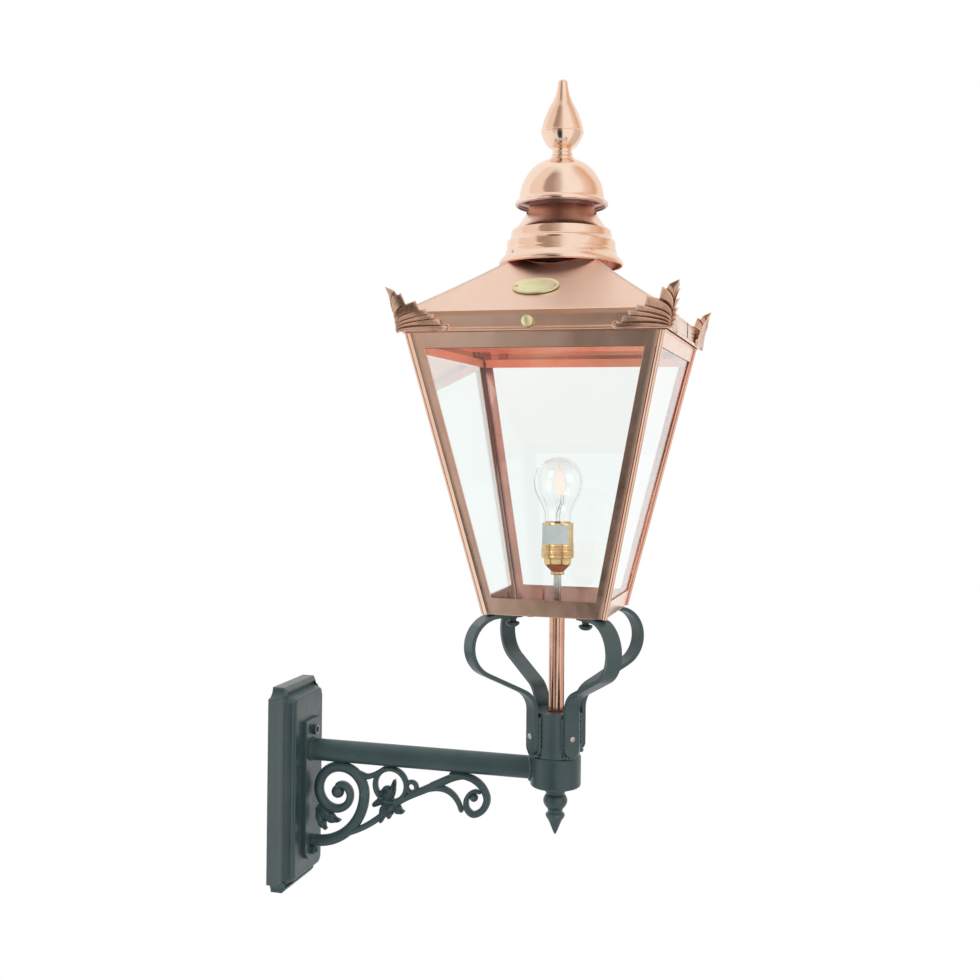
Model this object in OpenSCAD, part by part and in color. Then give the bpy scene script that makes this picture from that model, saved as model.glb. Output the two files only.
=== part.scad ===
// Outdoor wall light: a glazed copper lantern in a four-strap cradle, on an arm with a scroll bracket.
// Origin: centre of the wall plate's back face. +X points out of the wall along the arm,
// +Y runs across the plate and +Z is up. All sizes are in millimetres.
// The roof is hinged at its +Y side and lifts up for a new bulb.

/* [Wall plate] */
// Width of the cast wall plate
plate_w = 117; // [105:1:140]
// Height of the cast wall plate
plate_h = 260; // [230:1:320]
// Thickness of the plate's board, from the wall to its front border
board_t = 19.4; // [15:0.2:26]
// Width of the chamfer round the board's front
chamfer_w = 5; // [2:0.2:6]
// Depth of that chamfer
chamfer_d = 3.6; // [1:0.2:5]
// Radius of the cove cut into each corner of the board
cove_r = 13; // [8:0.5:18]
// Wall thickness of the plate casting
plate_wall = 5; // [3.5:0.5:7]
// Distance from the board's edge to the first step of the moulding
step_inset = 13; // [10:0.5:16]
// Height of the first step of the moulding
step_rise = 3.2; // [2:0.2:7]
// Distance from the board's edge to the raised panel
panel_inset = 17; // [14.5:0.5:19]
// Height of the raised panel above the first step
panel_rise = 8; // [5:0.5:12]
// Radius of the raised panel's corners
panel_r = 7; // [3:0.5:9]
// Height of the stiffening rib behind the panel
rib_h = 8; // [6:1:12]

/* [Bracket flange] */
// Width of the flange that the arm is welded to
flange_w = 42; // [36:1:50]
// Thickness of the flange
flange_t = 5.6; // [4:0.2:8]
// Height of the flange's top edge above the plate's centre
flange_top = 83; // [78:1:100]
// Depth of the flange's rounded end below the plate's centre
flange_drop = 98; // [94:1:105]
// Radius of the two screw bosses on the flange
boss_r = 6.2; // [5.5:0.1:8]
// Height of the screw bosses
boss_h = 6; // [3:0.5:9]
// Height of the upper wall screw above the plate's centre
fix_up = 69.5; // [66:0.5:74]
// Depth of the lower wall screw below the plate's centre
fix_down = 86; // [82:0.5:90]
// Radius of the holes for the wall screws
fix_hole_r = 3.2; // [2.2:0.1:4]
// Radius of the countersink round each wall screw hole
fix_sink_r = 4.8; // [4.2:0.1:5.2]
// Radius of the cable hole behind the arm
cable_hole_r = 9; // [6:0.5:10.5]

/* [Arm] */
// Distance from the wall to the lantern's axis
arm_reach = 358.4; // [335:0.2:420]
// Height of the arm's axis above the plate's centre
arm_z = 44; // [43:0.5:48]
// Outer diameter of the arm tube
arm_d = 28; // [25:0.5:30]
// Wall thickness of the arm tube
arm_wall = 3; // [2:0.25:4]
// Width of the weld collar where the arm meets the hub
collar_w = 5; // [3:0.5:8]
// How far the weld collar stands out of the arm
collar_rise = 1.6; // [1:0.2:3]

/* [Scroll bracket] */
// Thickness of the scroll casting's bars
scroll_t = 12; // [8:0.5:16]
// Thickness of the casting at its leaves and eyes
leaf_cast_t = 15; // [12.5:0.5:19]
// Radius of the big volute at its widest
volute_r = 35; // [33:0.5:36]
// Width of the big volute's bar
volute_w = 13.5; // [10:0.5:15]
// Radius of the eye in the middle of the volute
volute_eye_r = 8; // [6:0.5:9]
// Radius of the ring beside the volute
ring_r = 21; // [19:0.5:22]
// Width of the ring's bar
ring_bar_w = 6.5; // [5:0.5:8]
// Radius of the small hole in the ear
ear_hole_r = 3.7; // [2.5:0.1:5]

/* [Hub] */
// Radius of the hub that closes the arm
hub_r = 31; // [28:0.5:34]
// Height of the hub's underside
hub_bottom = 24; // [18:0.5:27]
// Height of the joint between the hub and the sleeve
hub_top = 62.5; // [61:0.5:64]
// Wall thickness of the hub and the sleeve
hub_wall = 6; // [4:0.5:8]
// Radius of the sleeve above the hub
sleeve_r = 29.5; // [27:0.5:30.5]
// Height of the sleeve's top
sleeve_top = 116.5; // [112:0.5:122]

/* [Cradle straps] */
// Width of the flat bar of each strap
strap_w = 20; // [16:0.5:22]
// Thickness of each strap
strap_t = 5; // [3.5:0.1:5.2]
// Distance from the axis to the outer face of a strap's foot
strap_out = 36.8; // [36:0.2:38]
// Height of a strap's lower end
strap_foot_z = 66; // [65:0.5:72]
// Radius of the outward bend above the sleeve
knee_r = 26; // [20:0.5:30]
// Slope of a strap between its two bends, in degrees
strap_slope = 25.4; // [18:0.2:32]
// Radius of the big bulge, on its outer face
bulge_r = 38.6; // [32:0.2:42]
// Distance from the axis to the farthest point of the bulge
bulge_reach = 124; // [116:0.5:130]
// Distance from the axis to a strap's inner end
strap_end = 50; // [46:0.5:54]
// Distance from the axis to the bolts that hold the lantern
bolt_reach = 63; // [60:0.5:72]
// Radius of the shank of those bolts
bolt_r = 3; // [2:0.1:3.6]
// Radius of the mushroom nuts under the straps
nut_r = 8.5; // [7:0.1:10]
// Height of the foot screw in each strap
foot_screw_z = 88; // [80:1:98]
// Radius of the foot screws' shanks
foot_screw_r = 2; // [1.5:0.1:3]

/* [Lantern body] */
// Height of the lantern floor's underside
lantern_z = 239.6; // [232:0.2:256]
// Width of the lantern across its floor
floor_w = 145.6; // [140:0.2:160]
// Height of the glazed body from floor to eaves
body_h = 328; // [300:1:360]
// Thickness of the copper sheet
sheet_t = 1.2; // [0.8:0.1:1.6]
// Width of each flange of a corner post at the eaves
post_w = 17; // [14:0.5:22]
// Width of the same flange at the floor
post_foot_w = 14.8; // [12:0.2:17]
// Radius of the bead along each corner
post_bead_r = 3; // [2.2:0.1:3.6]
// Height of the apron above the floor's underside
apron_h = 20.5; // [16:0.5:28]
// Height of the top rail below the eaves
top_rail_h = 17; // [14:0.5:26]
// Thickness of the glass
glass_t = 3; // [2:0.25:4]
// Clearance round the glass
glass_gap = 0.3; // [0.2:0.05:0.6]
// Width of the clips that hold the glass
clip_w = 12; // [8:1:18]

/* [Roof] */
// Width of the roof across its fascia
roof_w = 305; // [303:0.5:320]
// How far the roof stands out past the body's eaves
roof_lap = 5.5; // [5:0.1:7]
// Gap between the body's eaves and the lower edge of the fascia
eaves_gap = 0.9; // [0.5:0.1:1.5]
// Height of the fascia
fascia_h = 23; // [21:0.5:27]
// Radius of the bead along the fascia's lower edge
fascia_bead_r = 2; // [1.4:0.1:2.4]
// Slope of the roof, in degrees
roof_slope = 34.6; // [30:0.2:38]
// Radius of the round opening in the roof's crown
crown_r = 58; // [52:0.5:66]
// Clearance between the roof and the body's upstand
roof_gap = 0.3; // [0.2:0.05:0.6]

/* [Chimney] */
// Radius of the chimney's base where it meets the hips
chimney_r = 74.8; // [70:0.2:80]
// Radius of the chimney's throat
throat_r = 41; // [36:0.5:45]
// Radius of the dome's rim
dome_r = 57; // [52:0.5:62]
// Height of the dome's rim above the hips
dome_lift = 73.5; // [71.5:0.5:80]
// Radius of the stud that holds the dome and the finial
stud_r = 3; // [2:0.1:4]
// Greatest radius of the roof finial
finial_r = 26.5; // [22:0.5:30]
// Height of the roof finial
finial_h = 101.5; // [90:0.5:115]

/* [Hinge and knob] */
// Outer radius of the hinge knuckles
knuckle_r = 3.6; // [3.2:0.1:4]
// Radius of the hinge pins
hinge_pin_r = 1.7; // [1.4:0.05:1.9]
// Clearance of moving metal on metal
run_gap = 0.06; // [0.04:0.01:0.08]
// Gap between neighbouring knuckles
knuckle_gap = 0.4; // [0.3:0.1:0.8]
// Length of each hinge
hinge_l = 40; // [30:1:50]
// Distance from the lantern's axis to the middle of each hinge
hinge_offset = 72; // [55:1:80]
// Radius of the thumb knob
knob_r = 6.6; // [5:0.1:8]
// Length of the thumb knob
knob_l = 7; // [5:0.5:10]
// Radius of the thumb knob's screw
knob_screw_r = 2; // [1.5:0.1:2.5]
// Height of the thumb knob above the fascia's lower edge
knob_up = 10; // [8.5:0.5:13]
// How far the thumb knob sits to the left of the fascia's middle
knob_left = 2.4; // [0:0.2:6]

/* [Trim] */
// Reach of a corner leaf along the fascia
leaf_reach = 54; // [36:1:58]
// Height of a corner leaf
leaf_h = 50; // [40:1:60]
// How far a corner leaf's tip leans out
leaf_lean = 11; // [6:0.5:15]
// Thickness of a corner leaf
leaf_t = 1.6; // [1.2:0.1:2.4]
// Length of the oval plaque
plaque_l = 55; // [44:1:62]
// Width of the oval plaque
plaque_w = 37; // [28:1:42]
// Thickness of the oval plaque
plaque_t = 1.6; // [1:0.1:2.5]
// How far the plaque sits to the left of the slope's middle
plaque_left = 5; // [0:0.5:8]
// Distance up the slope from the fold to the middle of the plaque
plaque_v = 55.3; // [50:0.1:62]

/* [Lamp] */
// Radius of the copper conduit
conduit_r = 9.5; // [8.5:0.1:11]
// Radius of the nickel tube that carries the lamp holder
nipple_r = 5.2; // [4.5:0.1:6]
// Height of the lamp holder's neck above the lantern's floor
nipple_h = 42.4; // [36:0.2:60]
// Radius of the lamp holder's shell
holder_r = 19.3; // [18:0.1:21]
// Length of the lamp holder's shell
holder_l = 42.5; // [38:0.5:50]
// Radius of the bulb
bulb_r = 30; // [26:0.5:34]
// Height of the bulb's glass above its cap
bulb_h = 83; // [78:0.5:95]
// Thickness of the bulb's glass
bulb_t = 0.8; // [0.6:0.1:1.2]
// Radius of the lead inside the arm
flex_r = 3.4; // [2.5:0.1:3.8]

/* [Hidden] */
$fn = 72;
eps = 0.01;

// Levels and reaches that follow from the sizes above
plate_front = board_t + step_rise + panel_rise;
flange_face = plate_front + flange_t;
boss_face = flange_face + boss_h;
cavity_x = plate_front - plate_wall;
deep_inset = panel_inset + plate_wall;
floor_half = floor_w/2;
roof_half = roof_w/2;
eaves_half = roof_half - roof_lap;
eaves_z = lantern_z + body_h;
lean = atan((eaves_half - floor_half)/body_h);
face_l = body_h/cos(lean);
edge_lean = atan(sin(lean));
bead_inset = post_bead_r/2;
fascia_z = eaves_z + eaves_gap;
fold_z = fascia_z + fascia_h;
crown_half = crown_r*0.7;
slope_l = (roof_half - crown_half)/cos(roof_slope);
upstand_z = roof_under(eaves_half) - roof_gap;
chimney_z = roof_top(chimney_r/sqrt(2)) + 0.1;
drum_r = throat_r - sheet_t - 0.1;
dome_z = chimney_z + dome_lift;
bar_z = dome_z + 11;
dome_top = dome_z + 57.2;
hinge_y = roof_half + knuckle_r;
hinge_z = fascia_z + fascia_bead_r + knuckle_r + 1.4;
leaf_off = fascia_bead_r + 0.2;
holder_z = lantern_z + sheet_t + nipple_h;
shell_z = holder_z + 21;
shell_top = shell_z + holder_l;
bulb_z = shell_top - 2.5;
lamp_base = shell_z + 8;
floor_top = lantern_z + sheet_t;

function roof_top(h) = fold_z + (roof_half - h)*tan(roof_slope);
function roof_under(h) = roof_top(h) - sheet_t/cos(roof_slope);
function face_half(v) = floor_half + v*sin(lean);
function half_at(z) = floor_half + (z - lantern_z)*tan(lean);
function arc(c, r, a0, a1, n = 10) =
  [for (i = [0:n]) c + r*[cos(a0 + (a1 - a0)*i/n), sin(a0 + (a1 - a0)*i/n)]];
function bez(a, b, c, d, n = 10) =
  [for (i = [0:n]) let (t = i/n, s = 1 - t) s*s*s*a + 3*s*s*t*b + 3*s*t*t*c + t*t*t*d];
function reversed(p) = [for (i = [len(p) - 1:-1:0]) p[i]];

// A smooth curve through a few chosen points
function smooth(p, n = 4) = concat([for (i = [0:len(p) - 2], j = [0:n - 1]) let (t = j/n,
    a = p[max(i - 1, 0)], b = p[i], c = p[i + 1], d = p[min(i + 2, len(p) - 1)])
    0.5*(2*b + (c - a)*t + (2*a - 5*b + 4*c - d)*t*t + (3*b - a - 3*c + d)*t*t*t)],
  [p[len(p) - 1]]);

// The left-hand normal of a path at each of its points, mitred
function seg_n(a, b) = [a[1] - b[1], b[0] - a[0]]/norm(b - a);
function path_n(p, i) = let (m = seg_n(p[max(i - 1, 0)], p[max(i, 1)])
    + seg_n(p[min(i, len(p) - 2)], p[min(i + 1, len(p) - 1)])) 2*m/(m*m);

// The outline of a sheet of thickness t whose outer side is the path p
function sheet(p, t) = concat(p, reversed([for (i = [0:len(p) - 1]) p[i] + t*path_n(p, i)]));

// The outline of a bar along the path p, whose width runs from w0 to w1
function bar(p, w0, w1) = let (n = len(p) - 1) concat(
  [for (i = [0:n]) p[i] + (w0 + (w1 - w0)*i/n)/2*path_n(p, i)],
  reversed([for (i = [0:n]) p[i] - (w0 + (w1 - w0)*i/n)/2*path_n(p, i)]));

// The outline of a leaf along the path p, w wide in its middle
function leaf_shape(p, w) = let (n = len(p) - 1) concat(
  [for (i = [0:n]) p[i] + w*(0.08 + 0.42*sin(180*i/n))*path_n(p, i)],
  reversed([for (i = [0:n]) p[i] - w*(0.08 + 0.42*sin(180*i/n))*path_n(p, i)]));

module paint_grey() color([0.25, 0.30, 0.29]) children();
module copper() color([0.80, 0.56, 0.45]) children();
module brass() color([0.80, 0.66, 0.36]) children();
module nickel() color([0.66, 0.66, 0.64]) children();
module clear_glass() color([0.85, 0.93, 0.92, 0.35]) children();

// Draws in the plate's own plane: first axis across, second axis up, thickness along +X
module off_wall(x, t) translate([x, 0, 0]) rotate([90, 0, 90]) linear_extrude(t) children();
module at_axis() translate([arm_reach, 0, 0]) children();
module corner(i) at_axis() rotate([0, 0, 90*i - 45]) children();
// Draws on lantern face i: first axis across, second axis up the face, third axis outwards
module on_face(i) at_axis() rotate([0, 0, 90*i]) translate([0, -floor_half, lantern_z])
  rotate([90 + lean, 0, 0]) children();
// Draws on roof slope i: first axis across, second axis up the slope, third axis outwards
module on_slope(i) at_axis() rotate([0, 0, 90*i]) translate([0, -roof_half, fold_z])
  rotate([roof_slope, 0, 0]) children();

// Wall plate: one hollow casting, a chamfered board with coved corners and a stepped raised panel
module coved_board() difference() {
  square([plate_w, plate_h], center = true);
  for (x = [-1, 1], y = [-1, 1]) translate([x*plate_w/2, y*plate_h/2]) circle(r = cove_r);
}
module rounded_panel(inset, r) {
  square([plate_w - 2*inset, plate_h - 2*inset - 2*r], center = true);
  square([plate_w - 2*inset - 2*r, plate_h - 2*inset], center = true);
  for (x = [-1, 1], y = [-1, 1])
    translate([x*(plate_w/2 - inset - r), y*(plate_h/2 - inset - r)]) circle(r = r);
}
// The wedge that a chamfer takes off an edge at distance c from the middle
module chamfer_wedge(c, l) linear_extrude(l, center = true) polygon([
  [board_t + chamfer_d, c - 2*chamfer_w], [board_t - 2*chamfer_d, c + chamfer_w],
  [board_t + chamfer_d, c + chamfer_w]]);
module chamfered_board() difference() {
  off_wall(0, board_t) coved_board();
  for (s = [0, 1]) mirror([0, s, 0]) chamfer_wedge(plate_w/2, plate_h + 2);
  for (s = [0, 1]) mirror([0, 0, s]) rotate([90, 0, 0]) chamfer_wedge(plate_h/2, plate_w + 2);
  for (y = [-1, 1], z = [-1, 1])
    translate([board_t - chamfer_d, y*plate_w/2, z*plate_h/2]) rotate([0, 90, 0])
      cylinder(h = 2*chamfer_d, r1 = cove_r, r2 = cove_r + 2*chamfer_w);
}
module wall_plate() paint_grey() difference() {
  union() {
    difference() {
      union() {
        chamfered_board();
        off_wall(0, board_t + step_rise) rounded_panel(step_inset, panel_r + 2);
        off_wall(0, plate_front) rounded_panel(panel_inset, panel_r);
      }
      off_wall(-1, board_t - plate_wall + 1)
        square([plate_w - 2*plate_wall, plate_h - 2*(cove_r + plate_wall)], center = true);
      off_wall(-1, cavity_x + 1) square([plate_w - 2*deep_inset, plate_h - 2*deep_inset], center = true);
    }
    off_wall(0, cavity_x + eps)
      square([plate_w - 2*plate_wall + eps, rib_h], center = true);
    for (z = [fix_up, -fix_down])
      translate([0, 0, z]) rotate([0, 90, 0]) cylinder(h = cavity_x + eps, r = boss_r + 2);
  }
  for (z = [fix_up, -fix_down])
    translate([-1, 0, z]) rotate([0, 90, 0]) cylinder(h = plate_front + 2, r = fix_hole_r);
  translate([cavity_x - 1, 0, arm_z]) rotate([0, 90, 0])
    cylinder(h = plate_wall + 2, r = cable_hole_r);
}

// Terminal block: a moulded block fixed inside the plate, below the cable hole
block_t = 15;
block_w = 42;
block_h = 17;
block_x = cavity_x - glass_gap - block_t;
block_z = arm_z - cable_hole_r - 2 - block_h;
module terminal_block() color([0.9, 0.9, 0.86]) difference() {
  translate([block_x, -block_w/2, block_z]) cube([block_t, block_w, block_h]);
  for (y = [-1:1]) translate([block_x - 1, y*block_w/3, block_z + block_h/2])
    rotate([0, 90, 0]) cylinder(h = 7, r = 3);
  for (y = [-1:1]) translate([block_x + block_t/2, y*block_w/3, block_z - 1])
    cylinder(h = 9, r = 2.4);
}
module terminal_screws() brass()
  for (y = [-1:1]) translate([block_x + 2, y*block_w/3, block_z + block_h/2])
    rotate([0, 90, 0]) difference() {
      cylinder(h = 4, r = 2.9);
      translate([-4, -0.4, -1]) cube([8, 0.8, 2]);
    }

// Bracket flange: a steel pad with two screw bosses, welded to the arm and the scroll
module arm_flange() paint_grey() difference() {
  union() {
    off_wall(plate_front, flange_t) {
      translate([-flange_w/2, -flange_drop + flange_w/2])
        square([flange_w, flange_top + flange_drop - flange_w/2]);
      translate([0, -flange_drop + flange_w/2]) circle(r = flange_w/2);
    }
    for (z = [fix_up, -fix_down])
      translate([flange_face - eps, 0, z]) rotate([0, 90, 0]) cylinder(h = boss_h + eps, r = boss_r);
  }
  for (z = [fix_up, -fix_down]) translate([plate_front - 1, 0, z]) rotate([0, 90, 0]) {
    cylinder(h = flange_t + boss_h + 2, r = fix_hole_r);
    translate([0, 0, flange_t + boss_h - 0.4]) cylinder(h = 3, r1 = fix_hole_r, r2 = fix_sink_r);
  }
  translate([plate_front - 1, 0, arm_z]) rotate([0, 90, 0]) cylinder(h = flange_t + 2, r = cable_hole_r);
}

// Arm: a steel tube, coped to the hub at its far end
module arm_tube() paint_grey() difference() {
  translate([flange_face, 0, arm_z]) rotate([0, 90, 0]) rotate_extrude() polygon([
    [arm_d/2 - arm_wall, 0], [arm_d/2 + 0.8, 0], [arm_d/2, 3],
    [arm_d/2, arm_reach - hub_r - flange_face - collar_w],
    [arm_d/2 + collar_rise, arm_reach - hub_r - flange_face - collar_w/2],
    [arm_d/2 + collar_rise, arm_reach - flange_face - hub_r + 12],
    [arm_d/2 - arm_wall, arm_reach - flange_face - hub_r + 12]]);
  at_axis() translate([0, 0, hub_bottom - 1]) cylinder(h = hub_top - hub_bottom + 2, r = hub_r);
  at_axis() cylinder(h = sleeve_top, r = sleeve_r);
}

// Scroll bracket: one iron casting under the arm, in the arm's own plane
volute_c = [flange_face + volute_r + 1.8, -8];
foot_r = 65.5;
foot_c = volute_c + [volute_r - foot_r, 0];
ring_c = [flange_face + 107.8, arm_z - arm_d/2 - ring_r - ring_bar_w/2 + 0.3];
ear_c = ring_c + [28, 0];
function volute_at(a) = volute_r - (volute_r - volute_eye_r)*pow(a/450, 1.4);
module scroll_bars() {
  polygon(bar([for (a = [0:15:450]) volute_c + volute_at(a)*[cos(a), sin(a)]], volute_w, 9));
  polygon(bar(concat(arc(foot_c, foot_r, 0, -90, 12), [[flange_face, foot_c[1] - foot_r]]),
    volute_w, volute_w + 1));
  polygon(bar(bez([84, -61], [104, -54], [122, -44], [148, -20]), 7, 9));
  polygon(bar(bez([144, -24], [160, -6], [184, 0], [206, 13]), 8, 10));
  polygon(bar(bez([200, 9.5], [212, 15], [224, 24], [240, 27]), 11, 9));
  polygon(bar(bez([196, 6.5], [216, 12], [232, 4], [238, -17]), 9, 6));
  polygon(bar(smooth([[226, 28], [238, 27.5], [254, 23], [266, 13], [271.5, -1], [266, -14.5],
    [254.5, -21], [246, -15.5], [244.5, -5], [249, 4], [256, 8], [262, 7]]), 9, 4));
  difference() {
    translate(ring_c) circle(r = ring_r + ring_bar_w/2);
    translate(ring_c) circle(r = ring_r - ring_bar_w/2);
  }
  difference() {
    translate(ear_c) circle(r = ear_hole_r + 5.6);
    translate(ear_c) circle(r = ear_hole_r);
  }
  polygon(bar(smooth([[101, 17], [112, 14.5], [124, 19], [136, 28]]), 8, 6));
}
module scroll_leaves() {
  translate(volute_c - [1.5, 0]) circle(r = volute_eye_r);
  translate([254.5, 0]) circle(r = 5);
  polygon(leaf_shape(bez([120, -22], [134, -12], [147, -8], [149, 13]), 15));
  polygon(leaf_shape(bez([128, -8], [136, -2], [142, 2], [150, 0]), 12));
  polygon(leaf_shape(bez([148, -10], [142, -20], [134, -26], [131, -42]), 16));
  polygon(leaf_shape(bez([148, -12], [150, -22], [155, -27], [162, -26]), 13));
  polygon(leaf_shape(bez([142, -20], [142, -28], [141, -32], [143, -36]), 12));
  polygon(leaf_shape(bez([45, -26], [54, -38], [62, -46], [75, -45]), 15));
  polygon(leaf_shape(bez([43, -30], [46, -44], [50, -52], [56, -58]), 13));
}
module scroll_bracket() paint_grey() difference() {
  rotate([90, 0, 0]) {
    linear_extrude(scroll_t, center = true) scroll_bars();
    linear_extrude(leaf_cast_t, center = true) scroll_leaves();
  }
  translate([0, 0, arm_z]) rotate([0, 90, 0]) cylinder(h = arm_reach, r = arm_d/2);
  translate([0, 0, -fix_down]) rotate([0, 90, 0])
    cylinder(h = boss_face + glass_gap, r = boss_r + glass_gap);
  translate([flange_face - 40, -20, -150]) cube([40, 40, 300]);
}

// Hub: a hollow casting that turns the arm upwards
module hub() paint_grey() difference() {
  at_axis() rotate_extrude() polygon(concat([[5, hub_bottom], [hub_r - 2, hub_bottom],
    [hub_r, hub_bottom + 2], [hub_r, hub_top - 1.5], [hub_r - 1.5, hub_top],
    [hub_r - hub_wall, hub_top], [hub_r - hub_wall, hub_bottom + hub_wall], [5, hub_bottom + hub_wall]]));
  translate([arm_reach - hub_r - 2, 0, arm_z]) rotate([0, 90, 0])
    cylinder(h = hub_wall + 6, r = arm_d/2 - arm_wall);
}

// Pendant finial: a turned drop screwed into the hub
module pendant_finial() paint_grey() at_axis() rotate_extrude() polygon(concat(
  [[0, hub_bottom + hub_wall + 2], [4.9, hub_bottom + hub_wall + 2], [4.9, hub_bottom], [12, hub_bottom]],
  smooth([[12.6, 17.5], [11.4, 14.5], [13.8, 11], [14.9, 6.2], [13.4, 1], [9.4, -4], [8.9, -7.9]]),
  smooth([[10.4, -9], [11.7, -11.6], [10.8, -14.5], [8.4, -18], [5.9, -24.2], [3.2, -30.5], [0, -35.6]])));

// Cradle sleeve: a short cast sleeve with four flat lands for the straps
land_z0 = strap_foot_z + 2;
land_h = 44;
module cradle_sleeve() paint_grey() difference() {
  union() {
    at_axis() translate([0, 0, hub_top]) cylinder(h = sleeve_top - hub_top, r = sleeve_r);
    for (i = [0:3]) corner(i) translate([0, -strap_w/2, land_z0])
      cube([strap_out - strap_t, strap_w, land_h]);
  }
  at_axis() translate([0, 0, hub_top - 1]) cylinder(h = sleeve_top - hub_top - 4, r = sleeve_r - hub_wall);
  at_axis() cylinder(h = sleeve_top + 1, r = conduit_r + run_gap);
  for (i = [0:3]) corner(i) translate([sleeve_r - hub_wall - 2, 0, foot_screw_z])
    rotate([0, 90, 0]) cylinder(h = 30, r = foot_screw_r);
}

// Cradle straps: flat bar, bent once outwards above the sleeve and once round under the lantern
bulge_c = [bulge_reach - bulge_r, lantern_z - bulge_r];
bend_a = 90 - strap_slope;
knee_x = strap_out + knee_r;
knee_z = bulge_c[1] - bulge_r*sin(bend_a) - knee_r*sin(bend_a)
  - (bulge_c[0] + bulge_r*cos(bend_a) - knee_x + knee_r*cos(bend_a))*tan(strap_slope);
function strap_side(d) = concat([[strap_out - d, strap_foot_z]],
  arc([knee_x, knee_z], knee_r + d, 180, 180 - bend_a, 10),
  arc(bulge_c, bulge_r - d, -bend_a, 90, 22), [[strap_end, bulge_c[1] + bulge_r - d]]);
module strap(i) paint_grey() corner(i) difference() {
  intersection() {
    rotate([90, 0, 0]) linear_extrude(strap_w, center = true)
      polygon(concat(strap_side(0), reversed(strap_side(strap_t))));
    union() {
      translate([strap_end + strap_w/2, -strap_w, strap_foot_z + 80]) cube([200, 2*strap_w, 200]);
      translate([strap_end + strap_w/2, 0, strap_foot_z + 80]) cylinder(h = 200, r = strap_w/2);
      translate([0, -strap_w, strap_foot_z + strap_w/2]) cube([200, 2*strap_w, 90]);
      translate([0, 0, strap_foot_z + strap_w/2]) rotate([0, 90, 0]) cylinder(h = 200, r = strap_w/2);
    }
  }
  translate([bolt_reach, 0, lantern_z - 2*strap_t]) cylinder(h = 3*strap_t, r = bolt_r + run_gap);
  translate([0, 0, foot_screw_z]) rotate([0, 90, 0]) cylinder(h = 60, r = foot_screw_r);
}
module strap_screws() nickel() for (i = [0:3]) corner(i)
  translate([strap_out, 0, foot_screw_z]) rotate([0, 90, 0]) rotate_extrude() polygon([
    [0, -strap_t - hub_wall], [foot_screw_r, -strap_t - hub_wall], [foot_screw_r, 0], [3.8, 0],
    [3.6, 1], [2.6, 1.9], [0, 2.3]]);
module cradle_bolts() brass() for (i = [0:3]) corner(i)
  translate([bolt_reach, 0, floor_top]) rotate_extrude() polygon([
    [0, -sheet_t - strap_t - 6], [bolt_r, -sheet_t - strap_t - 6], [bolt_r, 0], [6.5, 0], [6, 1.6],
    [4, 2.8], [0, 3.2]]);
module cradle_nuts() paint_grey() for (i = [0:3]) corner(i)
  translate([bolt_reach, 0, lantern_z - strap_t]) rotate_extrude() polygon(concat(
    [[bolt_r + run_gap, 0], [5.6, 0], [5, -1.5], [4.6, -5]],
    smooth([[nut_r - 0.6, -6], [nut_r, -7.4], [nut_r - 1.6, -10], [nut_r - 4.4, -11.8], [0, -12.4]]),
    [[0, -7], [bolt_r + run_gap, -7]]));

// Conduit and lamp carrier: tubes that take the lead from the sleeve up to the lamp holder
module conduit() copper() at_axis() translate([0, 0, sleeve_top - 6]) difference() {
  cylinder(h = lantern_z - sleeve_top + 6, r = conduit_r);
  translate([0, 0, -1]) cylinder(h = lantern_z - sleeve_top + 8, r = conduit_r - sheet_t);
}
module conduit_collar() color([0.5, 0.27, 0.22]) at_axis() translate([0, 0, sleeve_top])
  rotate_extrude() polygon([[conduit_r + run_gap, 0], [conduit_r + 3.4, 0], [conduit_r + 3, 1.4],
    [conduit_r + run_gap, 2.2]]);
module nipple() nickel() at_axis() translate([0, 0, lantern_z - 12]) difference() {
  cylinder(h = nipple_h + sheet_t + 12 + 6, r = nipple_r);
  translate([0, 0, -1]) cylinder(h = nipple_h + sheet_t + 30, r = nipple_r - 1.1);
}
module nipple_nut() brass() at_axis() translate([0, 0, floor_top]) difference() {
  cylinder(h = 5, r = nipple_r + 4.6, $fn = 6);
  translate([0, 0, -1]) cylinder(h = 7, r = nipple_r + run_gap);
}

// Lamp holder: brass cap and shell, shade ring, and a glazed insulator inside
module holder_cap() brass() at_axis() translate([0, 0, holder_z]) rotate_extrude() polygon(
  [[nipple_r + run_gap, 0], [7.8, 0], [7.4, 3.4], [9.5, 5.4], [13.4, 8.2], [15.2, 13], [15.8, 17.6],
   [holder_r - 0.7, 19.4], [holder_r - 0.4, 20.2], [holder_r - 0.4, 20.95], [holder_r - 2.5, 20.95],
   [14.2, 18], [13.6, 13.6], [11.6, 9.8], [8, 7], [nipple_r + run_gap, 6]]);
module holder_shell() brass() at_axis() translate([0, 0, shell_z]) rotate_extrude() polygon(
  [[holder_r - 3.4, 0], [holder_r - 0.7, 0], [holder_r - 0.7, 22], [holder_r, 22.4], [holder_r - 0.4, 41],
   [holder_r - 0.9, holder_l], [holder_r - 2.4, holder_l], [holder_r - 3.4, holder_l - 2]]);
module shade_ring() brass() at_axis() translate([0, 0, shell_z]) rotate_extrude() polygon(
  [[holder_r - 0.7 + run_gap, 0.2], [holder_r + 1, 0.2], [holder_r + 1.4, 1.4], [holder_r + 1.4, 7.6],
   [holder_r + 1, 9], [holder_r - 0.7 + run_gap, 9]]);
module holder_insulator() color([0.93, 0.92, 0.88]) at_axis() translate([0, 0, shell_z]) difference() {
  cylinder(h = 7.95, r = holder_r - 3.4 - run_gap);
  translate([0, 0, -1]) cylinder(h = 9, r = flex_r + 0.2);
}

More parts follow.
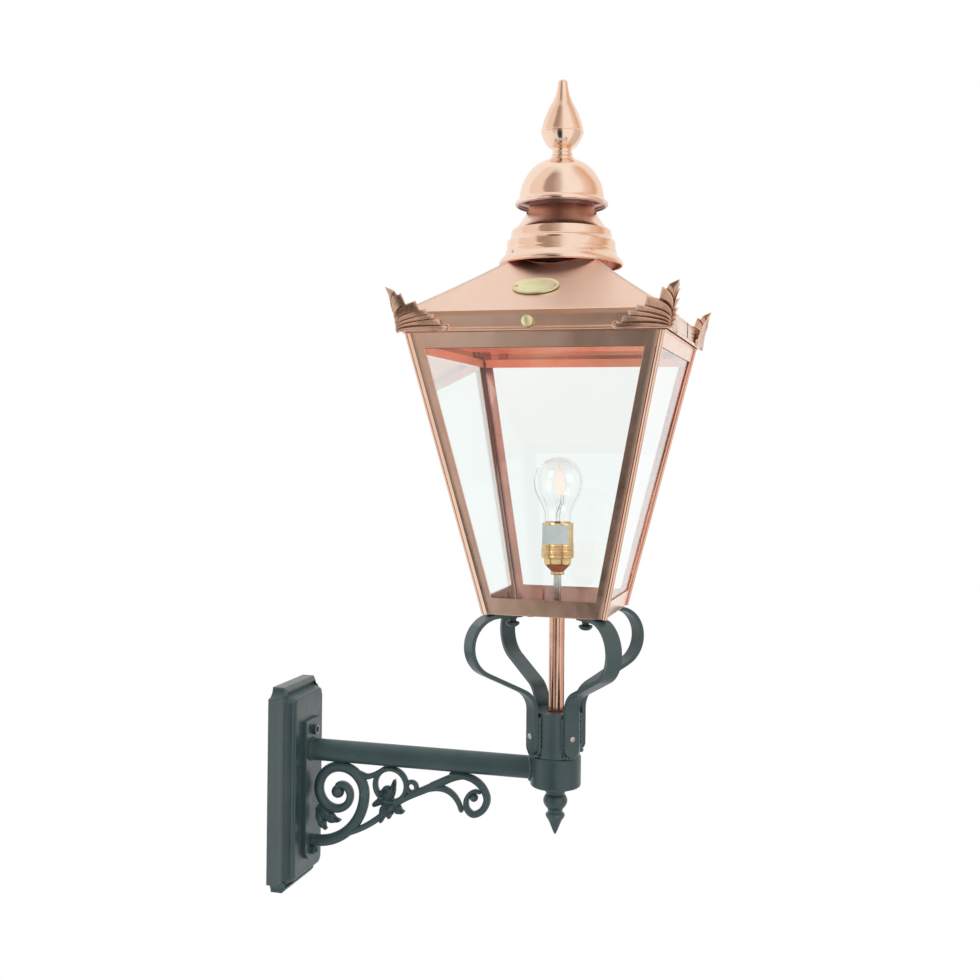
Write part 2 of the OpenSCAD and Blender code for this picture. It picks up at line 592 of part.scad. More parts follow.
// Bulb: brass screw cap, clear glass with a round head, glass stem with its wires, and filament
cap_r = 13.2;
cap_l = bulb_z - lamp_base;
bulb_c = bulb_z + bulb_h - bulb_r;
module bulb_cap() brass() at_axis() translate([0, 0, lamp_base]) rotate_extrude() polygon(concat(
  [[0, 0], [4.5, 0], [5, 1], [cap_r - 3, 5]],
  [for (z = [6:3.6:cap_l - 6]) each [[cap_r - 0.9, z], [cap_r, z + 1.8]]],
  [[cap_r - 0.9, cap_l - 3], [cap_r, cap_l - 1.5], [cap_r, cap_l], [cap_r - 1.2, cap_l],
   [cap_r - 2, 7], [0, 7]]));
function bulb_side() = concat([[cap_r, bulb_z]],
  smooth([[cap_r + 1.2, bulb_z + 1.4], [cap_r + 2.8, bulb_z + 4.4], [cap_r + 3.4, bulb_z + 12],
    [cap_r + 5.4, bulb_z + 20.4], [bulb_r*cos(44), bulb_c - bulb_r*sin(44)]], 3),
  arc([0, bulb_c], bulb_r, -36, 88, 16));
bulb_path = bulb_side();
module bulb_glass() clear_glass() at_axis() rotate_extrude() polygon(concat(bulb_path,
  [[0, bulb_c + bulb_r], [0, bulb_c + bulb_r - bulb_t]],
  reversed([for (i = [0:len(bulb_path) - 1]) bulb_path[i] + bulb_t*path_n(bulb_path, i)])));
module bulb_stem() clear_glass() at_axis() translate([0, 0, bulb_z]) {
  rotate_extrude() polygon([[0, 0.2], [cap_r - bulb_t - 0.2, 0.2], [cap_r - 4, 3], [4.5, 12], [3, 20],
    [3, 27], [3.8, 29], [3, 31], [0, 31.4]]);
}
flame_z = bulb_z + 37.6;
flame_side = smooth([
  [0.6, 0], [4.6, 2.2], [7.2, 6.6], [7, 12], [5.2, 19], [3.2, 26], [1.6, 32], [0.3, 36]]);
module filament() color([1, 0.86, 0.6]) at_axis() for (s = [-1, 1]) {
  translate([s*1.4, 0, bulb_z + 31.6]) cylinder(h = 7.6, r = 0.5, $fn = 16);
  translate([0, s*0.9, flame_z]) rotate([90, 0, 0]) linear_extrude(1, center = true)
    polygon(concat(flame_side, reversed([for (p = flame_side) [-p[0], p[1]]])));
}

// Internal lead: from the terminal block through the arm, the hub and the conduit
flex_x = cavity_x - 12;
bend_r = flex_r + 0.1;
module internal_flex() color([0.12, 0.12, 0.12]) {
  translate([flex_x, 0, block_z + block_h]) cylinder(h = arm_z - block_z - block_h, r = flex_r);
  translate([flex_x, 0, arm_z]) sphere(r = bend_r);
  translate([flex_x, 0, arm_z]) rotate([0, 90, 0]) cylinder(h = arm_reach - flex_x, r = flex_r);
  translate([arm_reach, 0, arm_z]) sphere(r = bend_r);
  translate([arm_reach, 0, arm_z]) cylinder(h = shell_z + 4 - arm_z, r = flex_r);
}

// Floor tray: one folded sheet, the floor with an apron on each side
wall_in = sheet_t/cos(lean);
module taper(z0, z1, inset) at_axis() translate([0, 0, z0]) rotate([0, 0, 45]) cylinder(h = z1 - z0,
  r1 = (half_at(z0) - inset)*sqrt(2), r2 = (half_at(z1) - inset)*sqrt(2), $fn = 4);
module floor_tray() copper() difference() {
  taper(lantern_z, lantern_z + apron_h, 0);
  taper(floor_top, lantern_z + apron_h + 1, wall_in);
  at_axis() cylinder(h = eaves_z, r = nipple_r + run_gap);
  for (i = [0:3]) corner(i) translate([bolt_reach, 0, lantern_z - 1])
    cylinder(h = 4, r = bolt_r + run_gap);
}

// Corner posts: folded angle, with a bead along the corner
module post_flange(side) linear_extrude(sheet_t) polygon([
  [side*face_half(0), 0], [side*face_half(face_l), face_l],
  [side*(face_half(face_l) - post_w/cos(edge_lean)), face_l],
  [side*(face_half(0) - post_foot_w/cos(edge_lean)), 0]]);
module corner_post(i) copper() difference() {
  union() {
    on_face(i) post_flange(1);
    on_face(i + 1) post_flange(-1);
    corner(i) translate([sqrt(2)*(floor_half + sheet_t - bead_inset), 0, lantern_z])
      rotate([0, atan(sqrt(2)*tan(lean)), 0]) translate([0, 0, -5])
        cylinder(h = face_l + 20, r = post_bead_r);
  }
  taper(lantern_z - 20, eaves_z + 20, -eps);
  for (z = [lantern_z - 50, eaves_z])
    at_axis() translate([-roof_w, -roof_w, z]) cube([2*roof_w, 2*roof_w, 50]);
}

// Top frame: four rails and the upstand that the roof closes over, soldered into one piece
upstand_out = eaves_half - 0.05;
upstand_in = eaves_half - sheet_t;
module top_frame() copper() difference() {
  union() {
    taper(eaves_z - top_rail_h, eaves_z, 0);
    at_axis() translate([-upstand_out, -upstand_out, eaves_z - 0.6])
      cube([2*upstand_out, 2*upstand_out, upstand_z - eaves_z + 0.6]);
  }
  taper(eaves_z - top_rail_h - 1, eaves_z, wall_in);
  at_axis() translate([-upstand_in, -upstand_in, eaves_z - 0.1])
    cube([2*upstand_in, 2*upstand_in, upstand_z]);
}

// Glass: four tapered panes, held behind the apron and the top rail by folded clips
pane_w0 = -sheet_t - glass_gap - glass_t;
pane_trim = 6;
pane_v0 = sheet_t;
pane_v1 = face_l - 5;
clip_w0 = pane_w0 - 1.1;
clip_v1 = pane_v1 + glass_gap;
module glass_pane(i) clear_glass() on_face(i) translate([0, 0, pane_w0]) linear_extrude(glass_t)
  polygon([[-face_half(pane_v0) + pane_trim, pane_v0], [face_half(pane_v0) - pane_trim, pane_v0],
    [face_half(pane_v1) - pane_trim, pane_v1], [-face_half(pane_v1) + pane_trim, pane_v1]]);
module glazing_clips() copper() for (i = [0:3]) on_face(i) for (x = [-1, 1]) {
  translate([x*(floor_half - 32) - clip_w/2, 0.3, clip_w0]) cube([clip_w, 14, 1]);
  translate([x*(eaves_half - 36) - clip_w/2, 0, clip_w0]) {
    translate([0, clip_v1 - 10, 0]) cube([clip_w, 11.2, 1]);
    translate([0, clip_v1, 0]) cube([clip_w, 1.2, -sheet_t - 0.05 - clip_w0]);
  }
}

// Hinges: two butt hinges on the back, with cranked leaves on the top rail
module knuckle_row(k0, k1, r) for (s = [-1, 1]) for (k = [k0:2:k1])
  translate([s*hinge_offset - hinge_l/2 + k*hinge_l/3 + knuckle_gap/2, hinge_y, hinge_z])
    rotate([0, 90, 0]) cylinder(h = hinge_l/3 - knuckle_gap, r = r);
module pin_holes() for (s = [-1, 1]) translate([s*hinge_offset - hinge_l, hinge_y, hinge_z])
  rotate([0, 90, 0]) cylinder(h = 2*hinge_l, r = hinge_pin_r + run_gap);
crank_y = hinge_y + knuckle_r - 1.6;
rail_y = half_at(eaves_z - 3.8) + 0.05;
module hinge_leaves() brass() at_axis() difference() {
  union() {
    knuckle_row(0, 2, knuckle_r);
    for (s = [-1, 1]) for (k = [0, 2])
      translate([s*hinge_offset - hinge_l/2 + k*hinge_l/3 + knuckle_gap/2, 0, 0])
        rotate([90, 0, 90]) linear_extrude(hinge_l/3 - knuckle_gap) polygon([
          [crank_y, hinge_z], [crank_y + 1.6, hinge_z], [crank_y + 1.6, eaves_z - 5.4],
          [rail_y - 1.6*tan(lean), eaves_z - 5.4], [rail_y, eaves_z - 3.8], [crank_y, eaves_z - 3.8]]);
  }
  pin_holes();
}
module hinge_pins() color([0.7, 0.6, 0.36]) at_axis() for (s = [-1, 1])
  translate([s*hinge_offset - hinge_l/2 - 1.6, hinge_y, hinge_z]) rotate([0, 90, 0]) {
    cylinder(h = hinge_l + 3.2, r = hinge_pin_r);
    cylinder(h = 1.4, r = knuckle_r - 0.8);
    translate([0, 0, hinge_l + 1.8]) cylinder(h = 1.4, r = knuckle_r - 0.8);
  }
module roof_hinge_leaves() brass() at_axis() difference() {
  union() {
    knuckle_row(1, 1, knuckle_r);
    for (s = [-1, 1]) {
      translate([s*hinge_offset - hinge_l/6 + knuckle_gap/2, roof_half, hinge_z])
        cube([hinge_l/3 - knuckle_gap, 1.6, fold_z - hinge_z - 1]);
      translate([s*hinge_offset - hinge_l/2, roof_half, hinge_z + knuckle_r + 0.8])
        cube([hinge_l, 1.6, fold_z - hinge_z - knuckle_r - 1.8]);
    }
  }
  pin_holes();
}

// Roof shell: folded and soldered sheet, four slopes with a fascia and a beaded lower edge
module slope_plate() translate([0, 0, -sheet_t]) linear_extrude(sheet_t) polygon([
  [-roof_half, 0], [roof_half, 0], [crown_half, slope_l], [-crown_half, slope_l]]);
module roof_shell() copper() difference() {
  union() {
    for (i = [0:3]) on_slope(i) slope_plate();
    at_axis() difference() {
      translate([-roof_half, -roof_half, fascia_z + fascia_bead_r])
        cube([roof_w, roof_w, fascia_h - fascia_bead_r]);
      translate([-roof_half + sheet_t, -roof_half + sheet_t, fascia_z - 1])
        cube([roof_w - 2*sheet_t, roof_w - 2*sheet_t, fascia_h + 2]);
    }
    for (i = [0:3]) at_axis() rotate([0, 0, 90*i])
      translate([-roof_half, -roof_half, fascia_z + fascia_bead_r]) {
        rotate([0, 90, 0]) cylinder(h = roof_w, r = fascia_bead_r);
        sphere(r = fascia_bead_r);
      }
  }
  at_axis() translate([0, 0, fold_z + 20]) cylinder(h = 200, r = crown_r);
  at_axis() translate([-knob_left, -roof_half - 5, fascia_z + knob_up]) rotate([-90, 0, 0])
    cylinder(h = 10, r = knob_screw_r + run_gap);
}

// Chimney: a spun base with three tiers, a drum, and a domed cowl that keeps the rain out
module chimney_base() copper() at_axis() translate([0, 0, chimney_z]) rotate_extrude()
  polygon(sheet(concat([[chimney_r, 0]],
    smooth([[chimney_r + 1.2, 1.8], [chimney_r + 1.2, 4.6], [chimney_r - 2, 8.6],
      [chimney_r - 5.6, 12.6], [chimney_r - 7.2, 16.2]], 3),
    [[chimney_r - 6.6, 17.6], [chimney_r - 7.8, 19], [chimney_r - 8.6, 27.6], [chimney_r - 8.2, 29],
     [chimney_r - 11.6, 32.4], [chimney_r - 12.6, 34.2], [chimney_r - 13.4, 41.6],
     [chimney_r - 14.4, 43.4]],
    bez([chimney_r - 16, 44], [throat_r + 12, 48], [throat_r + 3, 61], [throat_r, 71], 10)), sheet_t));
module chimney_drum() color([0.55, 0.25, 0.2]) at_axis() translate([0, 0, chimney_z + 60]) difference() {
  cylinder(h = bar_z - chimney_z - 60, r = drum_r);
  translate([0, 0, -1]) cylinder(h = bar_z - chimney_z, r = drum_r - sheet_t);
}
module cross_bar() copper() at_axis() difference() {
  translate([-drum_r, -7, bar_z]) cube([2*drum_r, 14, 3]);
  translate([0, 0, bar_z - 1]) cylinder(h = 5, r = stud_r + run_gap);
}
module dome_stud() nickel() at_axis() translate([0, 0, bar_z - 6])
  cylinder(h = dome_top + 10 - bar_z + 6, r = stud_r);
nut_h = 4;
under_dome_z = dome_top - sheet_t - nut_h - 0.35;
module stud_nuts() nickel() at_axis() for (z = [bar_z - nut_h, bar_z + 3, under_dome_z])
  translate([0, 0, z]) difference() {
    cylinder(h = nut_h, r = stud_r + 3.4, $fn = 6);
    translate([0, 0, -1]) cylinder(h = nut_h + 2, r = stud_r + run_gap);
  }
module chimney_dome() copper() at_axis() translate([0, 0, dome_z]) rotate_extrude()
  polygon(sheet(concat([[dome_r - 3, -0.4]],
    arc([dome_r - 2.6, 3], 2.9, -60, 70, 6),
    [[dome_r - 4.4, 7.6], [dome_r - 5, 9.4]],
    smooth([[dome_r - 5.6, 13], [dome_r - 6.2, 18.6], [dome_r - 8.2, 26], [dome_r - 11.2, 32.6],
      [dome_r - 17.6, 42.6], [dome_r - 24, 49], [dome_r - 32, 54.4], [dome_r - 38, 56.4]], 3),
    [[stud_r + run_gap + 1, dome_top - dome_z], [stud_r + run_gap, dome_top - dome_z]]), sheet_t));
module roof_finial() copper() at_axis() translate([0, 0, dome_top]) difference() {
  rotate_extrude() polygon(concat([[0, 0], [15.4, 0]],
    smooth([[15.2, 1.6], [13.4, 3.4], [11.9, 9], [12.6, 12.6], [18, 17], [22.8, 24.4],
      [finial_r - 1, 30.6]], 3),
    [[finial_r, 32.6], [finial_r, 34], [finial_r - 0.8, 35.6]],
    smooth([[finial_r - 1.2, 40], [22.6, 48.6], [17.8, 62.4], [12.6, 72.6], [9.4, 80], [7.6, 87],
      [6.6, 93.6], [4.8, 98.6], [2.6, finial_h - 0.8], [0, finial_h]], 3)));
  translate([0, 0, -1]) cylinder(h = 12, r = stud_r + run_gap);
}

// Corner leaves: pressed acanthus leaves folded over the roof's corners
leaf_rows = 5;
leaf_ribs = 12;
function leaf_edge(a) = let (q = a/90) (leaf_reach*(1 - q) + leaf_h*q*q*q + 30*q*(1 - q))
  *(0.88 + 0.12*abs(cos(a*4)));
function leaf_point(side, a, f, lift) = let (r = 3 + (leaf_edge(a) - 3)*f, u = r*cos(a), z = r*sin(a),
    w = leaf_off + lift + leaf_lean*pow(z/leaf_h, 2), b = max(0, 1 - u/14),
    p = roof_half + w*b - u, q = roof_half + w)
  side > 0 ? [q, -p, fascia_z - 0.4 + z] : [p, -q, fascia_z - 0.4 + z];
function leaf_grid(lift) = [for (k = [-leaf_ribs:leaf_ribs], j = [0:leaf_rows])
  leaf_point(k, 90 - 90*abs(k)/leaf_ribs, j/leaf_rows, lift)];
leaf_n = leaf_rows + 1;
leaf_m = 2*leaf_ribs + 1;
leaf_back = leaf_m*leaf_n;
function lp(k, j) = k*leaf_n + j;
function lb(k, j) = leaf_back + lp(k, j);
module corner_leaf(i) copper() at_axis() rotate([0, 0, 90*i])
  polyhedron(points = concat(leaf_grid(leaf_t), leaf_grid(0)), convexity = 8, faces = concat(
    [for (k = [0:leaf_m - 2], j = [0:leaf_n - 2]) each [
      [lp(k, j), lp(k, j + 1), lp(k + 1, j + 1)], [lp(k, j), lp(k + 1, j + 1), lp(k + 1, j)],
      [lb(k, j), lb(k + 1, j + 1), lb(k, j + 1)], [lb(k, j), lb(k + 1, j), lb(k + 1, j + 1)]]],
    [for (k = [0:leaf_m - 2]) each [
      [lp(k, 0), lp(k + 1, 0), lb(k + 1, 0)], [lp(k, 0), lb(k + 1, 0), lb(k, 0)],
      [lp(k, leaf_n - 1), lb(k + 1, leaf_n - 1), lp(k + 1, leaf_n - 1)],
      [lp(k, leaf_n - 1), lb(k, leaf_n - 1), lb(k + 1, leaf_n - 1)]]],
    [for (j = [0:leaf_n - 2], m = [leaf_m - 1]) each [
      [lp(0, j), lb(0, j), lb(0, j + 1)], [lp(0, j), lb(0, j + 1), lp(0, j + 1)],
      [lp(m, j), lb(m, j + 1), lb(m, j)], [lp(m, j), lp(m, j + 1), lb(m, j + 1)]]]));

// Plaque: a blank oval plate, riveted to the front slope
rivet_x = plaque_l/2 - 5;
module plaque() brass() on_slope(0) translate([-plaque_left, plaque_v, 0.1]) difference() {
  union() {
    linear_extrude(plaque_t) polygon([for (a = [0:7.5:352.5]) [plaque_l/2*cos(a), plaque_w/2*sin(a)]]);
    linear_extrude(plaque_t + 0.5) difference() {
      polygon([for (a = [0:7.5:352.5]) [(plaque_l/2 - 1)*cos(a), (plaque_w/2 - 1)*sin(a)]]);
      polygon([for (a = [0:7.5:352.5]) [(plaque_l/2 - 2.4)*cos(a), (plaque_w/2 - 2.4)*sin(a)]]);
    }
  }
  for (s = [-1, 1]) translate([s*rivet_x, 0, -1]) cylinder(h = 5, r = 1 + run_gap);
}
module plaque_rivets() copper() on_slope(0) for (s = [-1, 1])
  translate([s*rivet_x - plaque_left, plaque_v, 0]) rotate_extrude() polygon([[0, 0.05], [1, 0.05],
    [1, plaque_t + 0.1], [1.9, plaque_t + 0.1], [1.6, plaque_t + 1], [0, plaque_t + 1.4]]);

// Thumb knob: a milled brass screw that locks the roof to the upstand
module thumb_knob() brass() at_axis() translate([-knob_left, -roof_half, fascia_z + knob_up])
  rotate([90, 0, 0]) rotate_extrude() polygon([
    [0, eaves_half + 0.8 - roof_half], [knob_screw_r, eaves_half + 0.8 - roof_half], [knob_screw_r, 0.15],
    [3.6, 0.15], [3.6, 1.6], [knob_r - 0.6, 1.8], [knob_r, 2.6], [knob_r, knob_l - 0.9],
    [knob_r - 0.8, knob_l - 0.1], [knob_r - 2, knob_l], [0, knob_l]]);

wall_plate();
terminal_block();
terminal_screws();
arm_flange();
arm_tube();
scroll_bracket();
hub();
pendant_finial();
cradle_sleeve();
strap(0);  // cradle_strap_1
strap(1);  // cradle_strap_2
strap(2);  // cradle_strap_3
strap(3);  // cradle_strap_4
strap_screws();
cradle_bolts();
cradle_nuts();
conduit();
conduit_collar();
nipple();
nipple_nut();
holder_cap();
holder_shell();
shade_ring();
holder_insulator();
bulb_cap();
bulb_glass();
bulb_stem();
filament();
internal_flex();
floor_tray();
corner_post(0);  // corner_post_1
corner_post(1);  // corner_post_2
corner_post(2);  // corner_post_3
corner_post(3);  // corner_post_4
top_frame();
glass_pane(0);  // glass_pane_1
glass_pane(1);  // glass_pane_2
glass_pane(2);  // glass_pane_3
glass_pane(3);  // glass_pane_4
glazing_clips();
hinge_leaves();
hinge_pins();
roof_hinge_leaves();
roof_shell();
chimney_base();
chimney_drum();
cross_bar();
dome_stud();
stud_nuts();
chimney_dome();
roof_finial();
corner_leaf(0);  // corner_leaf_1
corner_leaf(1);  // corner_leaf_2
corner_leaf(2);  // corner_leaf_3
corner_leaf(3);  // corner_leaf_4
plaque();
plaque_rivets();
thumb_knob();
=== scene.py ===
import math

import bmesh
import bpy
import numpy as np
from mathutils import Matrix, Vector


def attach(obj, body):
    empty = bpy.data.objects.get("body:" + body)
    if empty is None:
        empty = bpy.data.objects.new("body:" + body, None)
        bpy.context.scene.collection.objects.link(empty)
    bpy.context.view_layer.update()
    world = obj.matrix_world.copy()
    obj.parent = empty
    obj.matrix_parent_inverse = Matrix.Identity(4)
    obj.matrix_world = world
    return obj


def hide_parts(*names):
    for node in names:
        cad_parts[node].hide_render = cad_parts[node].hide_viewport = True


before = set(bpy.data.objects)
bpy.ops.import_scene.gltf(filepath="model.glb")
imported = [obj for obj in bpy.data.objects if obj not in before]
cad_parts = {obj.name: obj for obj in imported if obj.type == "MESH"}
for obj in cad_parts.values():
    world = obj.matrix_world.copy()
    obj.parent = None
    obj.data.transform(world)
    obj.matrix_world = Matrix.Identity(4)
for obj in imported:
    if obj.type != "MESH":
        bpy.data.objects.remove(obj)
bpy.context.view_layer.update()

# Wall plate. One hollow iron casting, a coved board with a stepped panel, painted dark green-grey.
# It is held to the wall by two long screws that go through the flange in front of it.
BODY = "bracket_and_body"


def node_maker(material):
    tree = material.node_tree

    def add(kind, **settings):
        made = tree.nodes.new("ShaderNode" + kind)
        for key, value in settings.items():
            if key in made.inputs:
                made.inputs[key].default_value = value
            else:
                setattr(made, key, value)
        return made

    return add, tree.links.new, tree.nodes["Principled BSDF"]


def new_material(name):
    material = bpy.data.materials.new(name)
    material.use_nodes = True
    return material


def finish_material(name, tones, rough, metallic=0.0, mottle=14.0, grain=(1, 1, 1), fine=420.0,
                    fine_bump=0.05, wave=9.0, wave_bump=0.0, coat=0.0, edge_tone=None, hollow=None, sheen=0.5):
    """A solid finish: clouded colour, uneven gloss, fine grain and slow waviness, with other tones where
    asked on sharp edges and in hollows; on the leaves these are a painted highlight and painted shade.
    """
    material = new_material(name)
    add, link, shader = node_maker(material)
    shader.inputs["Metallic"].default_value = metallic
    shader.inputs["Coat Weight"].default_value = coat
    shader.inputs["Coat Roughness"].default_value = 0.12
    shader.inputs["Specular IOR Level"].default_value = sheen
    where = add("TexCoord")
    cloud = add("TexNoise", Scale=mottle, Detail=6.0, Roughness=0.62, Distortion=0.5)
    link(where.outputs["Object"], cloud.inputs["Vector"])
    ramp = add("ValToRGB")
    ramp.color_ramp.elements[0].position = 0.30
    ramp.color_ramp.elements[1].position = 0.72
    ramp.color_ramp.elements[0].color = (*tones[0], 1)
    ramp.color_ramp.elements[1].color = (*tones[-1], 1)
    for i, tone in enumerate(tones[1:-1]):
        ramp.color_ramp.elements.new(0.30 + 0.42 * (i + 1) / (len(tones) - 1)).color = (*tone, 1)
    link(cloud.outputs["Fac"], ramp.inputs["Fac"])
    colour = ramp.outputs["Color"]
    # Tones by curvature: a lighter one on sharp edges and a darker one in hollows.
    for tone, start, end in ((edge_tone, 0.52, 0.60), (hollow, 0.49, 0.42)):
        if not tone:
            continue
        shape = add("NewGeometry")
        edge = add("MapRange", **{"From Min": start, "From Max": end})
        link(shape.outputs["Pointiness"], edge.inputs["Value"])
        mix = add("Mix", data_type="RGBA")
        mix.inputs[7].default_value = (*tone, 1)
        link(edge.outputs["Result"], mix.inputs[0])
        link(colour, mix.inputs[6])
        colour = mix.outputs[2]
    link(colour, shader.inputs["Base Color"])
    turn = add("Mapping", Scale=grain)
    link(where.outputs["Object"], turn.inputs["Vector"])
    grit = add("TexNoise", Scale=fine, Detail=4.0, Roughness=0.6)
    link(turn.outputs["Vector"], grit.inputs["Vector"])
    smear = add("TexNoise", Scale=mottle * 2.6, Detail=5.0, Roughness=0.7, Distortion=1.2)
    link(where.outputs["Object"], smear.inputs["Vector"])
    both = add("Math", operation="MULTIPLY_ADD")
    both.inputs[1].default_value = 0.35
    link(grit.outputs["Fac"], both.inputs[0])
    link(smear.outputs["Fac"], both.inputs[2])
    gloss = add("MapRange", **{"From Min": 0.42, "From Max": 0.92, "To Min": rough[0], "To Max": rough[1]})
    link(both.outputs["Value"], gloss.inputs["Value"])
    link(gloss.outputs["Result"], shader.inputs["Roughness"])
    slow = add("TexNoise", Scale=wave, Detail=2.0, Roughness=0.5)
    link(where.outputs["Object"], slow.inputs["Vector"])
    dents = add("Bump", Strength=wave_bump, Distance=0.01)
    link(slow.outputs["Fac"], dents.inputs["Height"])
    skin = add("Bump", Strength=fine_bump, Distance=0.0006)
    link(grit.outputs["Fac"], skin.inputs["Height"])
    link(dents.outputs["Normal"], skin.inputs["Normal"])
    link(skin.outputs["Normal"], shader.inputs["Normal"])
    return material


def settle(obj, material, body, nodes=(), angle=32):
    """Shades a finished mesh, gives it its material and puts it on its body."""
    obj.data.materials.clear()
    obj.data.materials.append(material)
    obj.data.shade_smooth()
    if not obj.data.has_custom_normals:
        obj.data.set_sharp_from_angle(angle=math.radians(angle))
    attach(obj, body)
    if nodes:
        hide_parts(*nodes)
    return obj


def put(name, vertices, faces, merge=0.0, outward=True):
    """A new mesh from points in millimetres."""
    mesh = bpy.data.meshes.new(name)
    mesh.from_pydata([tuple(0.001 * c for c in v) for v in vertices], [], faces)
    b = bmesh.new()
    b.from_mesh(mesh)
    if merge:
        bmesh.ops.remove_doubles(b, verts=b.verts, dist=merge * 0.001)
    if outward:
        bmesh.ops.recalc_face_normals(b, faces=b.faces)
    b.to_mesh(mesh)
    b.free()
    obj = bpy.data.objects.new(name, mesh)
    bpy.context.scene.collection.objects.link(obj)
    return obj


def ring_faces(rows, columns, capped=True, looped=False):
    """The faces between rings of points, with the two ends closed or joined to each other."""
    faces = []
    for i in range(rows if looped else rows - 1):
        low, high = i * columns, (i + 1) % rows * columns
        for k in range(columns):
            n = (k + 1) % columns
            faces.append([low + k, low + n, high + n, high + k])
    if capped:
        faces.append(list(range(columns))[::-1])
        faces.append(list(range((rows - 1) * columns, rows * columns)))
    return faces


def bake_modifiers(obj):
    """Turns an object with modifiers into a plain mesh."""
    ready = obj.evaluated_get(bpy.context.evaluated_depsgraph_get())
    mesh = bpy.data.meshes.new_from_object(ready)
    obj.modifiers.clear()
    obj.data = mesh
    return obj


def flat_faces(obj):
    """Bakes a piece so that its large faces are shaded flat and only its eased edges turn."""
    obj.data.shade_smooth()
    evened = obj.modifiers.new("even", "WEIGHTED_NORMAL")
    evened.weight = 100
    return bake_modifiers(obj)


paint_tones = [(0.017, 0.047, 0.050), (0.024, 0.060, 0.064), (0.036, 0.076, 0.080)]
paint = finish_material("green_grey_paint", paint_tones, (0.30, 0.44), mottle=16.0, fine=750.0,
                        fine_bump=0.14, wave=60.0, wave_bump=0.05, edge_tone=(0.095, 0.125, 0.125), sheen=0.72)
PLATE_W, PLATE_H, COVE_R, PANEL_R, PLATE_WALL, PLATE_FRONT = 117.0, 260.0, 13.0, 7.0, 5.0, 30.6
BOARD_T, RIB_H, FIX_UP, FIX_DOWN, FIX_HOLE_R, CABLE_HOLE_R, ARM_Z = 19.4, 8.0, 69.5, -86.0, 3.2, 9.0, 44.0
PANEL_INSET, BOSS_R, BITE = 17.0, 8.2, 0.05
CAVITY_X = PLATE_FRONT - PLATE_WALL
# The moulding from the wall to the panel: (distance off the wall, inset, how round the corner has become)
MOULDING = [(0, 0, 0), (0.6, 0, 0), (14.6, 0, 0), (15.7, 0.3, 0), (18.9, 4.4, 0), (19.4, 5.2, 0.02),
            (19.2, 5.9, 0.06), (17.3, 6.3, 0.12), (15.9, 7.0, 0.2), (15.7, 8.0, 0.3), (16.8, 9.5, 0.42),
            (19.4, 11.3, 0.56), (22.8, 12.8, 0.7), (26.0, 13.6, 0.82), (27.3, 13.9, 0.9),
            (28.3, 14.5, 0.95), (28.8, 15.4, 1), (28.9, 16.4, 1), (29.3, 17.0, 1), (30.1, 17.3, 1),
            (30.6, 18.2, 1), (30.6, 20.5, 1)]


def plate_ring(x, inset, blend, steps=10):
    """The plate's outline at one depth: scooped corners on the board, turning to round ones on the panel."""
    points = []
    for sy, sz, first in ((1, 1, 0), (-1, 1, 90), (-1, -1, 180), (1, -1, 270)):
        corner = Vector((sy * PLATE_W / 2, sz * PLATE_H / 2))
        reach = COVE_R + 0.7 * inset
        trim = math.degrees(math.asin(inset / reach))
        middle = Vector((sy * (PLATE_W / 2 - inset - PANEL_R), sz * (PLATE_H / 2 - inset - PANEL_R)))
        for i in range(steps + 1):
            a = math.radians(first + 270 - trim - (90 - 2 * trim) * i / steps)
            b = math.radians(first + 90 * i / steps)
            scooped = corner + reach * Vector((math.cos(a), math.sin(a)))
            rounded = middle + PANEL_R * Vector((math.cos(b), math.sin(b)))
            at = scooped.lerp(rounded, blend)
            points.append((x, at.x, at.y))
    return points


BOX_FACES = [[0, 1, 3, 2], [4, 6, 7, 5], [0, 4, 5, 1], [2, 3, 7, 6], [0, 2, 6, 4], [1, 5, 7, 3]]


def block(name, low, high):
    """A plain block between two corners, used as a cutter or a rib."""
    corners = [(x, y, z) for x in (low[0], high[0]) for y in (low[1], high[1]) for z in (low[2], high[2])]
    return put(name, corners, BOX_FACES)


def rod(name, radius, low, high, z, count=48):
    """A round bar along X, used as a cutter or a boss."""
    ends = [(x, radius * math.cos(2 * math.pi * k / count), z + radius * math.sin(2 * math.pi * k / count))
            for x in (low, high) for k in range(count)]
    return put(name, ends, ring_faces(2, count))


def combined(obj, other, operation):
    """Cuts another solid from a piece or adds it, and removes the other."""
    step = obj.modifiers.new("step", "BOOLEAN")
    step.object, step.operation, step.solver = other, operation, "EXACT"
    bake_modifiers(obj)
    bpy.data.objects.remove(other)


rings = [plate_ring(*level) for level in MOULDING]
plate = put("cast_wall_plate", [q for level in rings for q in level], ring_faces(len(rings), len(rings[0])))
shallow = (PLATE_W / 2 - PLATE_WALL, PLATE_H / 2 - COVE_R - PLATE_WALL)
deep = (PLATE_W / 2 - PANEL_INSET - PLATE_WALL, PLATE_H / 2 - PANEL_INSET - PLATE_WALL)
for (y, z), depth in ((shallow, BOARD_T - PLATE_WALL), (deep, CAVITY_X)):
    combined(plate, block("cavity", (-1, -y, -z), (depth, y, z)), "DIFFERENCE")
for (y, z), depth in ((shallow, BOARD_T - PLATE_WALL), (deep, CAVITY_X)):
    rib = block("rib", (0, -y - BITE, -RIB_H / 2), (depth + BITE, y + BITE, RIB_H / 2))
    combined(plate, rib, "UNION")
for z in (FIX_UP, FIX_DOWN):
    combined(plate, rod("boss", BOSS_R, 0, CAVITY_X + BITE, z), "UNION")
    combined(plate, rod("fixing_hole", FIX_HOLE_R, -1, PLATE_FRONT + 1, z), "DIFFERENCE")
combined(plate, rod("cable_hole", CABLE_HOLE_R, CAVITY_X - 1, PLATE_FRONT + 1, ARM_Z), "DIFFERENCE")
settle(flat_faces(plate), paint, BODY, ["wall_plate"])

# Terminal block. A glazed porcelain block with brass clamp screws, set in the hollow behind the plate
# and out of the weather. It joins the lamp's lead to the wires in the wall.


